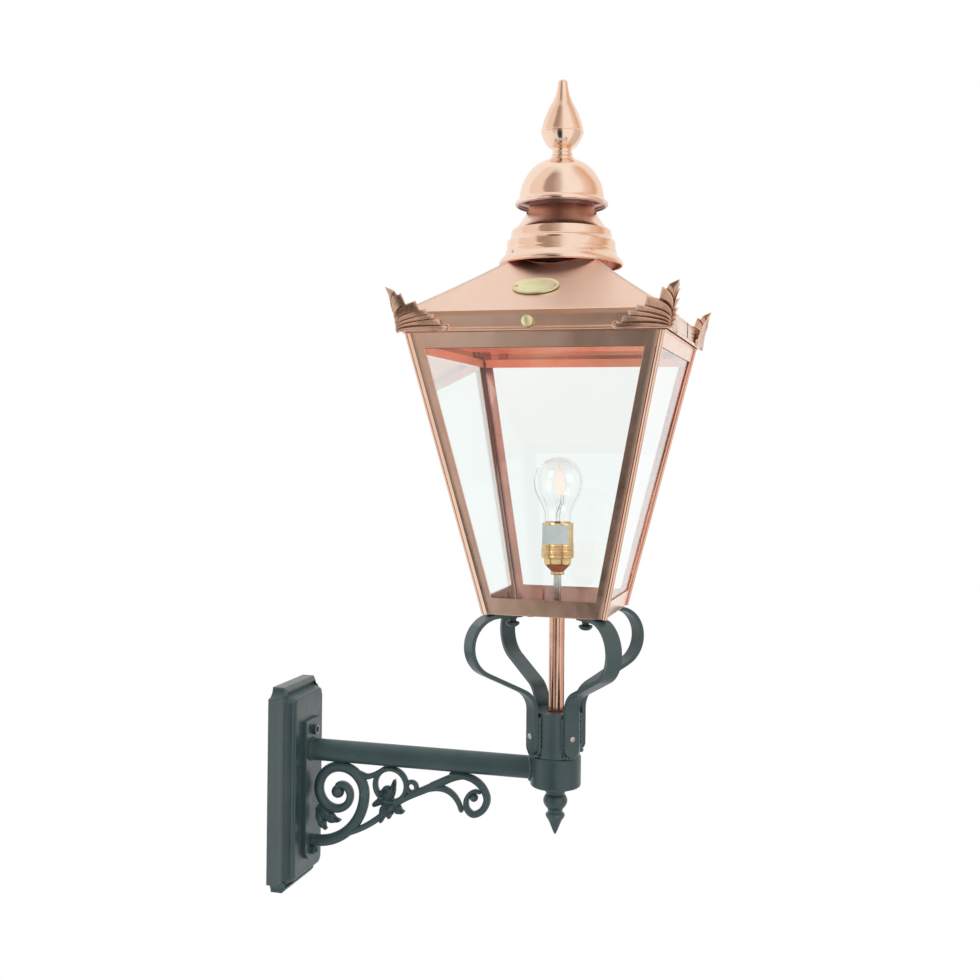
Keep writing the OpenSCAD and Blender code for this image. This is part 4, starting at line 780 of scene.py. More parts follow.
def glass_material(name, tint, rough):
    """Clear glass with faint streaks; light passes it without a hard dark shadow."""
    material = new_material(name)
    add, link, shader = node_maker(material)
    shader.inputs["Transmission Weight"].default_value = 1.0
    shader.inputs["IOR"].default_value = 1.46
    where = add("TexCoord")
    wave = add("TexNoise", Scale=5.0, Detail=2.0)
    link(where.outputs["Object"], wave.inputs["Vector"])
    tone = add("ValToRGB")
    tone.color_ramp.elements[0].color = (*tint, 1)
    tone.color_ramp.elements[1].color = (*[min(1.0, c * 1.015) for c in tint], 1)
    link(wave.outputs["Fac"], tone.inputs["Fac"])
    link(tone.outputs["Color"], shader.inputs["Base Color"])
    smear = add("TexNoise", Scale=26.0, Detail=6.0, Roughness=0.7)
    link(where.outputs["Object"], smear.inputs["Vector"])
    gloss = add("MapRange", **{"From Min": 0.45, "From Max": 0.8, "To Min": rough[0], "To Max": rough[1]})
    link(smear.outputs["Fac"], gloss.inputs["Value"])
    link(gloss.outputs["Result"], shader.inputs["Roughness"])
    ripple = add("Bump", Strength=0.04, Distance=0.002)
    link(wave.outputs["Fac"], ripple.inputs["Height"])
    link(ripple.outputs["Normal"], shader.inputs["Normal"])
    path = add("LightPath")
    clear = add("BsdfTransparent")
    clear.inputs["Color"].default_value = (*[c * 0.97 for c in tint], 1)
    mix = add("MixShader")
    link(path.outputs["Is Shadow Ray"], mix.inputs["Fac"])
    link(shader.outputs["BSDF"], mix.inputs[1])
    link(clear.outputs["BSDF"], mix.inputs[2])
    link(mix.outputs["Shader"], material.node_tree.nodes["Material Output"].inputs["Surface"])
    return material


blown = glass_material("blown_glass", (0.985, 0.99, 0.985), (0.0, 0.015))


def inset_line(line, thickness, least):
    """The other side of a sheet or wall whose outer side is the line, kept at least so far from the axis."""
    inner = []
    for i, p in enumerate(line):
        a, b = np.array(line[max(i - 1, 0)]), np.array(line[min(i + 1, len(line) - 1)])
        away = np.array([b[1] - a[1], a[0] - b[0]]) / max(1e-6, np.linalg.norm(b - a))
        inner.append((max(least, p[0] - thickness * away[0]), p[1] - thickness * away[1]))
    return inner


neck = [(13.2, 0), (14.6, 1.8), (15.9, 4.4), (16.4, 8.8), (16.7, 14.8), (18.9, 21.2), (22.4, 27.8),
        (26.2, 35.2), (28.9, 42.8)]
head = arc((0, BULB_TOP - BULB_R), BULB_R, -14, 90, 40)
outside = through(lifted(neck, NECK_Z), 6) + head[:-1] + [(0, BULB_TOP)]
inside = inset_line(outside, GLASS_T, 0.0)[:-1] + [(0, BULB_TOP - GLASS_T)]
envelope = turned("blown_envelope", inside[::-1] + outside, count=128, closed=False)
settle(envelope, blown, BODY, ["bulb_glass"], angle=60)
stem_side = through([(3.0, 0.3), (2.9, 2.8), (2.8, 7.8), (2.8, 13.8), (2.6, 20.2), (2.4, 25.4),
                     (3.1, 28.2), (3.0, 30.2)], 5)
stem = turned("pinched_stem", lifted([(0, 0.3)] + stem_side + [(0, 31.4)], NECK_Z), count=64, closed=False)
settle(stem, blown, BODY, ["bulb_stem"], angle=60)
for s in (-1, 1):
    wire = through([(AXIS + s * 1.2, 0, 350), (AXIS + s * 1.3 + 0.2, 0.3, 357),
                    (AXIS + s * 1.4 + 2.0, 0, 365), (AXIS + s * 1.4 + 4.9, -0.3, 372),
                    (AXIS + s * 1.5 + 4.6, -0.2, 380)], 10)
    settle(bead(f"lead_wire_{(s + 3) // 2}", wire, 0.40, False, 8, 0.34, 1.5), nickel, BODY,
           angle=60)
cement_side = [(0, -1.2), (11.9, -1.2), (11.9, 0.1), (0, 0.1)]
cement = turned("cap_cement", lifted(cement_side, NECK_Z), count=48, closed=False)
settle(cement, glaze, BODY, angle=40)

glow = new_material("glowing_plate")
add, link, shader = node_maker(glow)
where = add("TexCoord")
flicker = add("TexNoise", Scale=120.0, Detail=3.0)
link(where.outputs["Object"], flicker.inputs["Vector"])
heat = add("ValToRGB")
heat.color_ramp.elements[0].color = (1.0, 0.80, 0.70, 1)
heat.color_ramp.elements[1].color = (1.0, 0.91, 0.86, 1)
link(flicker.outputs["Fac"], heat.inputs["Fac"])
link(heat.outputs["Color"], shader.inputs["Emission Color"])
link(heat.outputs["Color"], shader.inputs["Base Color"])
shader.inputs["Emission Strength"].default_value = 0.28
tooth = add("MapRange", **{"To Min": 0.45, "To Max": 0.7})
link(flicker.outputs["Fac"], tooth.inputs["Value"])
link(tooth.outputs["Result"], shader.inputs["Roughness"])
skin = add("Bump", Strength=0.2, Distance=0.0004)
link(flicker.outputs["Fac"], skin.inputs["Height"])
link(skin.outputs["Normal"], shader.inputs["Normal"])
FLAME_X, FLAME_Z, FLAME_SIDES = AXIS + 2.6, 379.5, 24
flame_side = through([(0.6, 0), (3.4, 2.0), (6.4, 7.0), (7.7, 13.0), (6.9, 19), (4.9, 26), (2.6, 32.5),
                      (0.3, 38.5)], 6)
for k, y in enumerate((-1.3, 1.3)):
    vertices = []
    for r, z in flame_side:
        for a in np.linspace(0, 2 * math.pi, FLAME_SIDES, endpoint=False):
            bulge = min(0.5, 0.14 * r)
            vertices.append((FLAME_X + r * math.cos(a) - 0.04 * z, y + bulge * math.sin(a), FLAME_Z + z))
    plate_form = put(f"flame_plate_{k + 1}", vertices, ring_faces(len(flame_side), FLAME_SIDES))
    settle(plate_form, glow, BODY, ["filament"] if k == 0 else (), 50)

# Internal lead. A black sheathed lead that goes from the terminal block into the arm, turns up in the hub
# and lies in the conduit and the carrier as far as the holder's insulator.
sheath = finish_material("lead_sheath", [(0.012, 0.012, 0.012), (0.022, 0.021, 0.020)], (0.5, 0.7),
                         mottle=50.0, fine=500.0, fine_bump=0.1)
LEAD_X, LEAD_Z, LEAD_BEND, LEAD_R, LEAD_TOP = 13.6, 35.0, 3.4, 3.35, 308.0
quarter_turn = np.radians((20, 45, 70, 90))
lead_path = [(LEAD_X, 0, LEAD_Z + up) for up in (0.1, 3, 6)]
lead_path += [(LEAD_X + LEAD_BEND * (1 - math.cos(a)), 0, ARM_Z - LEAD_BEND * (1 - math.sin(a)))
              for a in quarter_turn]
lead_path += [(x, 0, ARM_Z) for x in np.linspace(24, AXIS - 6, 30)]
lead_path += [(AXIS - LEAD_BEND * (1 - math.sin(a)), 0, ARM_Z + LEAD_BEND * (1 - math.cos(a)))
              for a in quarter_turn]
lead_path += [(AXIS, 0, z) for z in np.linspace(54, LEAD_TOP, 24)]
settle(bead("sheathed_lead", lead_path, LEAD_R, False, 24), sheath, BODY,
       ["internal_flex"], angle=60)

# Lantern floor. One sheet with its four aprons folded up and the corners soldered; the apron's lower
# edge is hemmed to a small round.
bright_tones = [(0.80, 0.50, 0.37), (0.88, 0.60, 0.46), (0.94, 0.69, 0.555)]
copper = finish_material("polished_copper", bright_tones, (0.15, 0.26), metallic=1.0, mottle=7.0,
                         fine=520.0, fine_bump=0.05, wave=13.0, wave_bump=0.07)
# A darker, duller copper. On the inward faces of the floor and the posts it is painted shade for the dimmer
# inside of the lantern; the clips and the crown lip are given it too.
dull_and_shaded_tones = [(0.40, 0.175, 0.135), (0.52, 0.22, 0.165), (0.86, 0.32, 0.22)]
dull_and_shaded_copper = finish_material("dull_copper_painted_shade", dull_and_shaded_tones, (0.26, 0.40), metallic=1.0, mottle=9.0,
                              fine=420.0, fine_bump=0.06, wave=20.0, wave_bump=0.10)
LANTERN_Z, FLOOR_HALF = 239.6, 72.8


def square_path(half, z, radius=1.0, steps=5):
    """A square round the axis with rounded corners."""
    points = []
    for q, (sx, sy) in enumerate(((1, 1), (-1, 1), (-1, -1), (1, -1))):
        for k in range(steps + 1):
            a = math.radians(90 * q + 90 * k / steps)
            x, y = sx * (half - radius) + radius * math.cos(a), sy * (half - radius) + radius * math.sin(a)
            points.append((AXIS + x, y, z))
    return points


def second_finish(obj, material, chosen):
    """Gives another material to the faces picked by height, by how far they look outwards and upwards."""
    obj.data.materials.append(material)
    for face in obj.data.polygons:
        middle = face.center * 1000
        reach = Vector((middle.x - AXIS, middle.y, 0))
        out = face.normal.dot(reach.normalized()) if reach.length > 0.01 else 0.0
        if chosen(middle.z, out, face.normal.z):
            face.material_index = len(obj.data.materials) - 1


tray = settle(softened("floor_tray", "folded_floor", 0.5, 3), copper, BODY, ["floor_tray"])
# The floor's upper and inward faces inside the lantern are darker: painted shade.
second_finish(tray, dull_and_shaded_copper, lambda z, out, up: z > LANTERN_Z + 0.3 and (up > 0.5 or out < -0.3))
settle(bead("apron_hem", square_path(FLOOR_HALF - 0.2, LANTERN_Z + 0.75, 1.2), 0.75, True, 10), copper,
       BODY, angle=50)

# Corner posts. Each is one strip folded to an angle, wider at the eaves than at the foot, with a bead
# rolled along its corner; they are soldered to the floor and the top frame.
POST_FOOT_W, POST_TOP_W, POST_BEAD_R, SHEET = 14.8, 17.0, 3.0, 1.2
EAVES_HALF, BODY_H = 147.0, 328.0
EAVES_Z = LANTERN_Z + BODY_H
LEAN = math.atan((EAVES_HALF - FLOOR_HALF) / BODY_H)


def half_at(z):
    """Half the lantern's width at a height."""
    return FLOOR_HALF + (z - LANTERN_Z) * math.tan(LEAN)


def post(k):
    """One corner post, swept up the corner from the foot to the eaves."""
    turn = about_axis(90 * k)
    vertices = []
    levels = np.linspace(LANTERN_Z + 0.05, EAVES_Z - 0.05, 26)
    for z in levels:
        half = half_at(z)
        wide = POST_FOOT_W + (POST_TOP_W - POST_FOOT_W) * (z - LANTERN_Z) / BODY_H
        flank = [(wide, -1.1), (wide, -0.3), (wide - 0.4, 0.05), (9.5, 0.05), (4.6, 0.05), (4.2, 0.1)]
        bead_x = half - 0.5 * POST_BEAD_R + SHEET
        inside = half - SHEET * 1.05
        ring_points = [Vector((half - u, -(half + w * math.cos(LEAN)), z)) for u, w in flank]
        for a in np.radians(np.linspace(-213, 33, 17)):
            ring_points.append(Vector((bead_x + POST_BEAD_R * math.cos(a),
                                       -bead_x + POST_BEAD_R * math.sin(a), z)))
        ring_points += [Vector((half + w * math.cos(LEAN), -(half - u), z)) for u, w in flank[::-1]]
        ring_points += [Vector((inside, -(half - wide + 0.1), z)), Vector((inside, -inside, z)),
                        Vector((half - wide + 0.1, -inside, z))]
        vertices += [turn @ q for q in ring_points]
    return put(f"folded_post_{k + 1}", vertices, ring_faces(len(levels), len(ring_points)))


for k in range(4):
    folded = settle(post(k), copper, BODY, [f"corner_post_{k + 1}"], angle=35)
    # The posts' inward faces are darker: painted shade.
    second_finish(folded, dull_and_shaded_copper, lambda z, out, up: out < -0.2)

# Top frame. Four rails, a narrow ledge and the upstand under the roof, bent from one strip of copper and
# soldered to the posts. Soft copper strips behind the rear and left rails hold the glass.
# A brighter, redder copper for the inside of the frame, the retaining strips, the roof's underside and the
# lower inside of the chimney base: painted light, for light bouncing round inside the lantern and the red
# reflection under the chimney.
lit_inner_tones = [(0.94, 0.36, 0.24), (1.0, 0.50, 0.36), (1.0, 0.68, 0.54)]
lit_inner_copper = finish_material("inner_copper_painted_light", lit_inner_tones, (0.26, 0.44), metallic=0.65,
                               mottle=15.0, fine=420.0, fine_bump=0.06, wave=20.0, wave_bump=0.22,
                               sheen=0.8)
RAIL_H, LEDGE_HALF, STRIP_DEEP, STRIP_T, STRIP_SHORT = 17.0, 150.8, 6.6, 1.0, 9
RAIL_FOOT = EAVES_Z - RAIL_H


def square_band(name, section):
    """A strip bent round the lantern's square; its section is given as (half width, height) points."""
    loops = [square_path(half, z, 1.2) for half, z in section]
    return put(name, [q for loop in loops for q in loop],
               ring_faces(len(loops), len(loops[0]), False, True))


rails = settle(softened("top_frame", "bent_top_frame", 0.4, 2), copper, BODY, ["top_frame"])
# The rails' inward faces and the upstand get the brighter inner copper: painted light.
second_finish(rails, lit_inner_copper, lambda z, out, up: out < -0.2 or z > EAVES_Z + 0.5)
ledge = [(EAVES_HALF - 0.6, EAVES_Z - 0.8), (LEDGE_HALF, EAVES_Z - 0.6), (LEDGE_HALF, EAVES_Z - 0.1),
         (EAVES_HALF - 0.6, EAVES_Z - 0.1)]
settle(square_band("eaves_ledge", ledge), copper, BODY)
for name, quarter in (("rear_retaining_strip", 90), ("left_retaining_strip", 180)):
    turn = about_axis(quarter)
    corners = [turn @ Vector((half_at(z) - off, s * (half_at(z) - STRIP_SHORT), z))
               for z in (RAIL_FOOT - 5.0, RAIL_FOOT + 6.0) for off in (STRIP_DEEP, STRIP_DEEP - STRIP_T)
               for s in (-1, 1)]
    settle(put(name, corners, BOX_FACES), lit_inner_copper, BODY)

# Glazing. Four tapered panes of clear float glass, slid in behind the posts and the top rails, bedded in
# a dark sealant and kept by soft copper clips bent over their edges.
pane_glass = glass_material("float_glass", (0.955, 0.984, 0.973), (0.0, 0.02))
for k in range(1, 5):
    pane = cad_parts[f"glass_pane_{k}"]
    pane.data.materials.clear()
    pane.data.materials.append(pane_glass)
putty = finish_material("dark_sealant", [(0.030, 0.026, 0.024), (0.060, 0.050, 0.045)], (0.5, 0.7),
                        mottle=60.0, fine=600.0, fine_bump=0.15)
SEAL_BACK, SEAL_FRONT, SEAL_LOW, SEAL_HIGH = 2.2, 1.25, RAIL_FOOT - 0.35, RAIL_FOOT + 1.2
seal = [(half_at(z) - off, z) for off, z in ((SEAL_BACK, SEAL_LOW), (SEAL_FRONT, SEAL_LOW),
                                             (SEAL_FRONT, SEAL_HIGH), (SEAL_BACK, SEAL_HIGH))]
settle(square_band("pane_seal", seal), putty, BODY)
settle(softened("glazing_clips", "bent_clips", 0.3, 2), dull_and_shaded_copper, BODY, ["glazing_clips"])

# Hinges. Two drawn brass butts with hard brass pins, on the back of the eaves. One leaf of each is
# soldered to the top frame and the other to the roof, so that the roof tips back.
settle(softened("hinge_leaves", "fixed_hinge_leaves", 0.3, 2), brass, BODY, ["hinge_leaves"])
settle(softened("hinge_pins", "headed_pins", 0.3, 2), brass, BODY, ["hinge_pins"])
ROOF = "roof"
settle(softened("roof_hinge_leaves", "moving_hinge_leaves", 0.3, 2), brass, ROOF,
       ["roof_hinge_leaves"])

# Roof. Four slopes folded from sheet and soldered along the hips, with a fascia whose lower edge is
# rolled round a wire. The round opening in the crown has a turned lip.
ROOF_HALF, FASCIA_Z, FOLD_Z, SLOPE, CROWN_R = 152.5, 568.5, 591.5, 34.6, 58.0
PER_SIDE, SAG = 36, 1.1


def roof_top(h):
    """Height of the flat slope at a distance from the axis, across the eaves."""
    return FOLD_Z + (ROOF_HALF - h) * math.tan(math.radians(SLOPE))


def sag(h):
    """The slopes are a little hollow between the fold and the crown."""
    t = min(1.0, max(0.0, (ROOF_HALF - h) / (ROOF_HALF - 52)))
    return SAG * math.sin(math.pi * t) ** 1.2 if 0 < t < 1 else 0.0


azimuths = [math.radians(-135 + 90 * i / PER_SIDE) for i in range(4 * PER_SIDE)]
folded = [math.radians(-45 + 90 * (i % PER_SIDE) / PER_SIDE) for i in range(4 * PER_SIDE)]


def slope_ring(t, drop):
    """Points round the roof at a share t of the way from the crown to the fold."""
    points = []
    for a, f in zip(azimuths, folded):
        r = CROWN_R + t * (ROOF_HALF / math.cos(f) - CROWN_R)
        h = r * math.cos(f)
        points.append((AXIS + r * math.cos(a), r * math.sin(a), roof_top(h) - sag(h) - drop))
    return points


roof_rings = [slope_ring(t, 0.0) for t in [0, 0.015, 0.04] + list(np.linspace(0.1, 0.97, 16)) + [0.992]]
slope_rings = len(roof_rings)
fascia_side = [(ROOF_HALF - 0.25, FOLD_Z + 0.02), (ROOF_HALF, FOLD_Z - 0.5), (ROOF_HALF, FOLD_Z - 6),
               (ROOF_HALF - 0.15, FOLD_Z - 11.5), (ROOF_HALF, FASCIA_Z + 4.6)]
fascia_side += [(ROOF_HALF + 2 * math.sin(a), FASCIA_Z + 2 + 2 * math.cos(a))
                for a in np.radians(np.arange(12, 250, 17))]
fascia_side += [(ROOF_HALF - SHEET, FASCIA_Z + 3.4), (ROOF_HALF - SHEET, FOLD_Z - 1.2)]
for h, z in fascia_side:
    roof_rings.append([(AXIS + h / math.cos(f) * math.cos(a), h / math.cos(f) * math.sin(a), z)
                       for a, f in zip(azimuths, folded)])
fascia_rings = len(roof_rings) - 2
roof_rings += [slope_ring(t, SHEET / math.cos(math.radians(SLOPE)))
               for t in list(np.linspace(0.97, 0.1, 8)) + [0.015, 0]]
columns = 4 * PER_SIDE
vertices = [p for some_ring in roof_rings for p in some_ring]
roof = put("folded_roof", vertices, ring_faces(len(roof_rings), columns, False, True))
settle(roof, copper, ROOF, ["roof_shell"], angle=26)
sheet_tones = [(0.87, 0.625, 0.50), (0.91, 0.68, 0.555), (0.94, 0.73, 0.61)]
sheet_copper = finish_material("satin_sheet_copper", sheet_tones, (0.30, 0.42), metallic=1.0,
                               mottle=5.0, fine=380.0, fine_bump=0.05, wave=7.0, wave_bump=0.10)
roof.data.materials.append(sheet_copper)
roof.data.materials.append(lit_inner_copper)
# The slopes get the satin sheet copper; the roof's underside gets the brighter inner copper, which is
# painted light.
for face in roof.data.polygons:
    ring_at = face.index // columns
    if ring_at < slope_rings - 1:
        face.material_index = 1
    elif ring_at >= fascia_rings:
        face.material_index = 2
seam = [(AXIS + ROOF_HALF + 0.05, 25.0, z) for z in np.linspace(FASCIA_Z + 3.5, FOLD_Z - 0.8, 12)]
settle(bead("fascia_lap_seam", seam, 0.55, False, 8, flat=0.5), putty, ROOF, angle=60)
lip = [(AXIS + CROWN_R * math.cos(a), CROWN_R * math.sin(a), roof_top(CROWN_R * math.cos(f)) - 0.4)
       for a, f in zip(azimuths, folded)]
settle(bead("crown_lip", lip, 1.1, True, 10), dull_and_shaded_copper, ROOF, angle=60)
# Solder along the hips, given a pale tone that is also a painted highlight along the hip edges.
solder_and_highlight = finish_material("solder_painted_highlight", [(0.80, 0.72, 0.65), (0.86, 0.80, 0.74)], (0.34, 0.5),
                         metallic=1.0, mottle=30.0, fine=300.0, fine_bump=0.06)
for k in range(4):
    a = math.radians(90 * k - 45)
    line = []
    for h in np.linspace(ROOF_HALF - 1.5, 46, 40):
        r = h * math.sqrt(2)
        line.append((AXIS + r * math.cos(a), r * math.sin(a), roof_top(h) - sag(h) - 0.15))
    settle(bead(f"hip_solder_{k + 1}", line, 1.15, False, 8, 0.05, 7.0), solder_and_highlight, ROOF, angle=60)

# Chimney. A spun base in three tiers rests on the hips, riveted at four points; a drum, given a darker red
# copper as painted shade under the dome, stands in its throat and carries the bar and the stud for the dome.
CHIMNEY_Z, CHIMNEY_R, THROAT_R, BAR_Z, DOME_TOP = 660.33, 74.8, 41.0, 744.83, 791.03
spun_tones = [(0.88, 0.62, 0.48), (0.93, 0.70, 0.56), (0.97, 0.77, 0.65)]
spun_copper = finish_material("spun_copper", spun_tones, (0.11, 0.21), metallic=1.0, mottle=9.0,
                              grain=(0.3, 0.3, 7.0), fine=150.0, fine_bump=0.035, wave=18.0, wave_bump=0.05)
# A darker, redder copper for the drum and the dome's inside and underside: painted shade and painted red
# reflection under the dome.
shaded_red_tones = [(0.54, 0.36, 0.34), (0.66, 0.46, 0.43), (0.80, 0.58, 0.54)]
shaded_red_copper = finish_material("dark_red_copper_painted_shade", shaded_red_tones, (0.24, 0.36), metallic=1.0, mottle=20.0,
                             grain=(1, 1, 5), fine=160.0, fine_bump=0.03)
# Near-black copper for the inside and underside of the chimney base: painted shade in the gap under the
# base.
painted_shade_tones = [(0.018, 0.014, 0.014), (0.035, 0.024, 0.022), (0.08, 0.042, 0.034)]
near_black_painted_shade = finish_material("near_black_painted_shade", painted_shade_tones, (0.40, 0.6), metallic=1.0, mottle=24.0,
                               fine=300.0, fine_bump=0.1)


def shelled(line, thickness):
    """The closed section of a spun sheet whose outer side is the line."""
    return list(line) + inset_line(line, thickness, 0.02)[::-1]


def out_from(radius, points):
    """A profile whose radii are given from a named one."""
    return [(radius + r, z) for r, z in points]


foot_tier = through([(1.1, 1.6), (1.15, 4.4), (-1.9, 8.6), (-5.5, 12.6), (-7.1, 16.0)], 7)
middle_tier = through([(-6.8, 17.2), (-7.2, 18.4), (-7.9, 20), (-8.3, 24), (-8.6, 27.4)], 3)
upper_tier = through([(-8.2, 28.6), (-9.4, 30.4), (-11.6, 32.3), (-12.5, 34.2), (-13.0, 38),
                      (-13.4, 41.4)], 4)
tiers = out_from(CHIMNEY_R, [(0, 0)] + foot_tier + middle_tier + upper_tier + [(-14.2, 43.2)])
tiers += bend((CHIMNEY_R - 16, 44), (THROAT_R + 12, 48), (THROAT_R + 3, 61), (THROAT_R, 71), 16)
base = settle(turned("spun_base", lifted(shelled(tiers, SHEET), CHIMNEY_Z), count=160), spun_copper,
              ROOF, ["chimney_base"], angle=38)
# The base's inward and downward faces are near-black: painted shade.
second_finish(base, near_black_painted_shade, lambda z, out, up: out < -0.15 or up < -0.5)
# The lower inside of the base gets the brighter inner copper: painted light and a painted red reflection.
second_finish(base, lit_inner_copper, lambda z, out, up: z < CHIMNEY_Z + 15 and (out < -0.15 or up < -0.5))
rivet = turned("rivet", [(0, -0.4), (2.1, -0.4), (2.1, 0.1), (1.8, 0.75), (1.1, 1.2), (0, 1.35)],
               outwards, 24, closed=False)
fit_round("base_rivets", rivet, CHIMNEY_R - 5.6, CHIMNEY_Z + 12.5, copper, (), body=ROOF,
          angle=50)
DRUM_R, DRUM_BORE_R, DRUM_Z = 39.65, 38.5, CHIMNEY_Z + 60
drum_side = [(DRUM_R + 0.12 * math.sin(z), z) for z in np.linspace(DRUM_Z, BAR_Z, 14)]
drum = turned("stained_drum", [(DRUM_BORE_R, DRUM_Z)] + drum_side + [(DRUM_BORE_R, BAR_Z)], count=144)
settle(drum, shaded_red_copper, ROOF, ["chimney_drum"], angle=40)
settle(softened("cross_bar", "cross_bar_strip", 0.4, 2), copper, ROOF, ["cross_bar"])
STUD_FOOT, STUD_TOP = BAR_Z - 6, DOME_TOP + 10
stud_side = [(2.9, z) for z in np.arange(STUD_FOOT, STUD_TOP, 0.3)]
stud = turned("threaded_stud", [(0, STUD_FOOT)] + stud_side + [(0, STUD_TOP)], count=32, closed=False)
rolled_thread(stud, STUD_FOOT + 0.5, STUD_TOP - 0.5, 1.25, 0.1)
settle(stud, nickel, ROOF, ["dome_stud"], angle=50)
settle(softened("stud_nuts", "hexagon_nuts", 0.4, 2), nickel, ROOF, ["stud_nuts"])

# Dome. A spun cowl with a rolled-out rim, which keeps the rain out of the chimney and lets the heat pass
# under its edge. It is held on the stud by the finial above it.
DOME_R, DOME_Z = 57.0, 733.83
cowl_rim = [(-3.2, -0.35), (-1.6, -0.15), (-0.35, 0.75), (0.25, 2.2), (0.2, 3.7), (-0.7, 5.0)]
cowl_side = [(-2.4, 6.1), (-3.9, 7.4), (-4.7, 9.4), (-5.3, 13), (-6.1, 18.6), (-8.0, 26), (-11.4, 33.4),
             (-17.2, 42.4), (-24.2, 49.3), (-32, 54.2), (-39, 56.6)]
cowl = out_from(DOME_R, cowl_rim) + through(out_from(DOME_R, cowl_side) + [(6.2, 57.15)], 6) + [(3.1, 57.2)]
dome = settle(turned("spun_dome", lifted(shelled(cowl, SHEET), DOME_Z), count=160), spun_copper,
              ROOF, ["chimney_dome"], angle=38)
# The dome's inward and downward faces get the darker red copper: painted shade.
second_finish(dome, shaded_red_copper, lambda z, out, up: out < -0.15 or up < -0.6)

# Roof finial. Two spun halves, lapped at the widest point with a fine lip, over a turned neck. It screws
# down on the stud and so clamps the dome.
knop = [(0, 0), (15.2, 0)]
knop += through([(15.3, 1.4), (14.2, 3.2), (12.4, 5.0), (12.9, 6.8), (12.2, 8.6), (11.7, 10.6),
                 (12.8, 13.0), (17.4, 16.8), (22.2, 23.4), (24.9, 29.6), (25.7, 32.4)], 6)
knop += [(26.1, 32.5), (26.45, 32.9), (26.45, 34.2), (25.9, 34.8)]
knop += through([(25.7, 35.4), (25.2, 40), (22.8, 48.6), (17.9, 60.9), (12.7, 71.0), (9.4, 78.6),
                 (7.6, 85), (6.5, 91), (6.0, 94.6), (5.0, 97.4), (3.0, 98.8)], 6) + [(0, 99.2)]
finial = turned("spun_finial", lifted(knop, DOME_TOP), count=128, closed=False)
settle(finial, spun_copper, ROOF, ["roof_finial"], angle=38)

# Corner leaves. Pressed acanthus leaves in thin sheet, folded over the roof's corners and soldered. The
# lobes rise along the fold and sweep away from it like waves, each to a point turned up; the edge is
# rolled over, and the lowest lobe on each side ends in a curl.
LEAF_ROWS, LEAF_STEPS, LEAF_UP = 14, 6, 50.0
# On the leaves the light edge tone is a painted highlight, and the dark hollow tone is painted shade.
leaf_tones = [(0.44, 0.26, 0.18), (0.66, 0.41, 0.29), (0.84, 0.57, 0.43)]
leaf_copper = finish_material("pressed_leaf_copper", leaf_tones, (0.18, 0.32), metallic=1.0,
                              mottle=30.0, fine=500.0, fine_bump=0.08, edge_tone=(0.97, 0.76, 0.62),
                              hollow=(0.12, 0.06, 0.04))
# Points and notches of the leaf's edge, from the curl on the fascia up to the tip: (along, up, on a point)
LEAF_EDGE = [(47, 0.2, 0), (55, 0.6, 0.4), (58, 5.4, 1), (50, 6.2, 0), (47.6, 13.4, 1), (41, 12.2, 0),
             (42, 19.0, 1), (34.5, 17.6, 0), (32, 25.2, 1), (24.5, 23.0, 0), (21, 34.2, 1),
             (9.6, 31.0, 0), (8.8, 43.0, 1), (5.6, 40.4, 0), (5.0, 45.6, 1), (0, LEAF_UP, 1)]


def leaf_columns():
    """The flow lines of half a leaf: where each starts on the fold, its end on the edge, and its ridge."""
    columns = []
    for i, (a, b) in enumerate(zip(LEAF_EDGE, LEAF_EDGE[1:])):
        for k in range(LEAF_STEPS):
            t = k / LEAF_STEPS
            end = [a[n] + (b[n] - a[n]) * t for n in range(3)]
            q = (i + t) / (len(LEAF_EDGE) - 1)
            columns.append((0.2 + 29.8 * q ** 2.2, *end))
    return columns + [(30.0, *LEAF_EDGE[-1])]


def leaf_half(sign, column, f, lift):
    """A point at a share f along a flow line, on the front's side of the corner or round it."""
    start, along, up, ridge = column
    reach = (along ** 2 + (up - start) ** 2) ** 0.5
    rise = 0.62 * min(up - start, 24) if up > start else 0.0
    knee = (0.10 * along, start + rise + 0.06 * reach)
    u = 2 * f * (1 - f) * knee[0] + f * f * along
    z = (1 - f) ** 2 * start + 2 * f * (1 - f) * knee[1] + f * f * up
    fold = min(1.0, along / 9)
    swell = 3.2 * ridge ** 0.8 * math.sin(math.pi * min(1, 0.12 + 0.8 * f))
    relief = fold * (swell - 0.9 * f + 1.9 * ridge * f ** 6)
    w = min(14.7, 2.1 + lift + 11.2 * (z / LEAF_UP) ** 2 + relief)
    near = max(0.0, 1 - u / 14)
    p, s = ROOF_HALF + w * near - u, ROOF_HALF + w
    z = FASCIA_Z - 0.2 + z
    return (s, -p, z) if sign > 0 else (p, -s, z)


def leaf(k):
    """One pressed leaf, both its faces and its edges."""
    turn = about_axis(90 * k)
    half = leaf_columns()
    shares = [(-1, column) for column in half] + [(1, column) for column in half[-2::-1]]
    rows = LEAF_ROWS + 1
    vertices = []
    for lift in (0.95, 0.0):
        for sign, column in shares:
            vertices += [turn @ Vector(leaf_half(sign, column, j / LEAF_ROWS, lift)) for j in range(rows)]
    back = len(shares) * rows
    faces = []
    for i in range(len(shares) - 1):
        for j in range(LEAF_ROWS):
            a = i * rows + j
            faces.append([a, a + 1, a + rows + 1, a + rows])
            faces.append([back + a, back + a + rows, back + a + rows + 1, back + a + 1])
        for j in (0, LEAF_ROWS):
            a = i * rows + j
            faces.append([a, a + rows, back + a + rows, back + a])
    for i in (0, len(shares) - 1):
        for j in range(LEAF_ROWS):
            a = i * rows + j
            faces.append([a, a + 1, back + a + 1, back + a])
    return put(f"pressed_leaf_{k + 1}", vertices, faces)


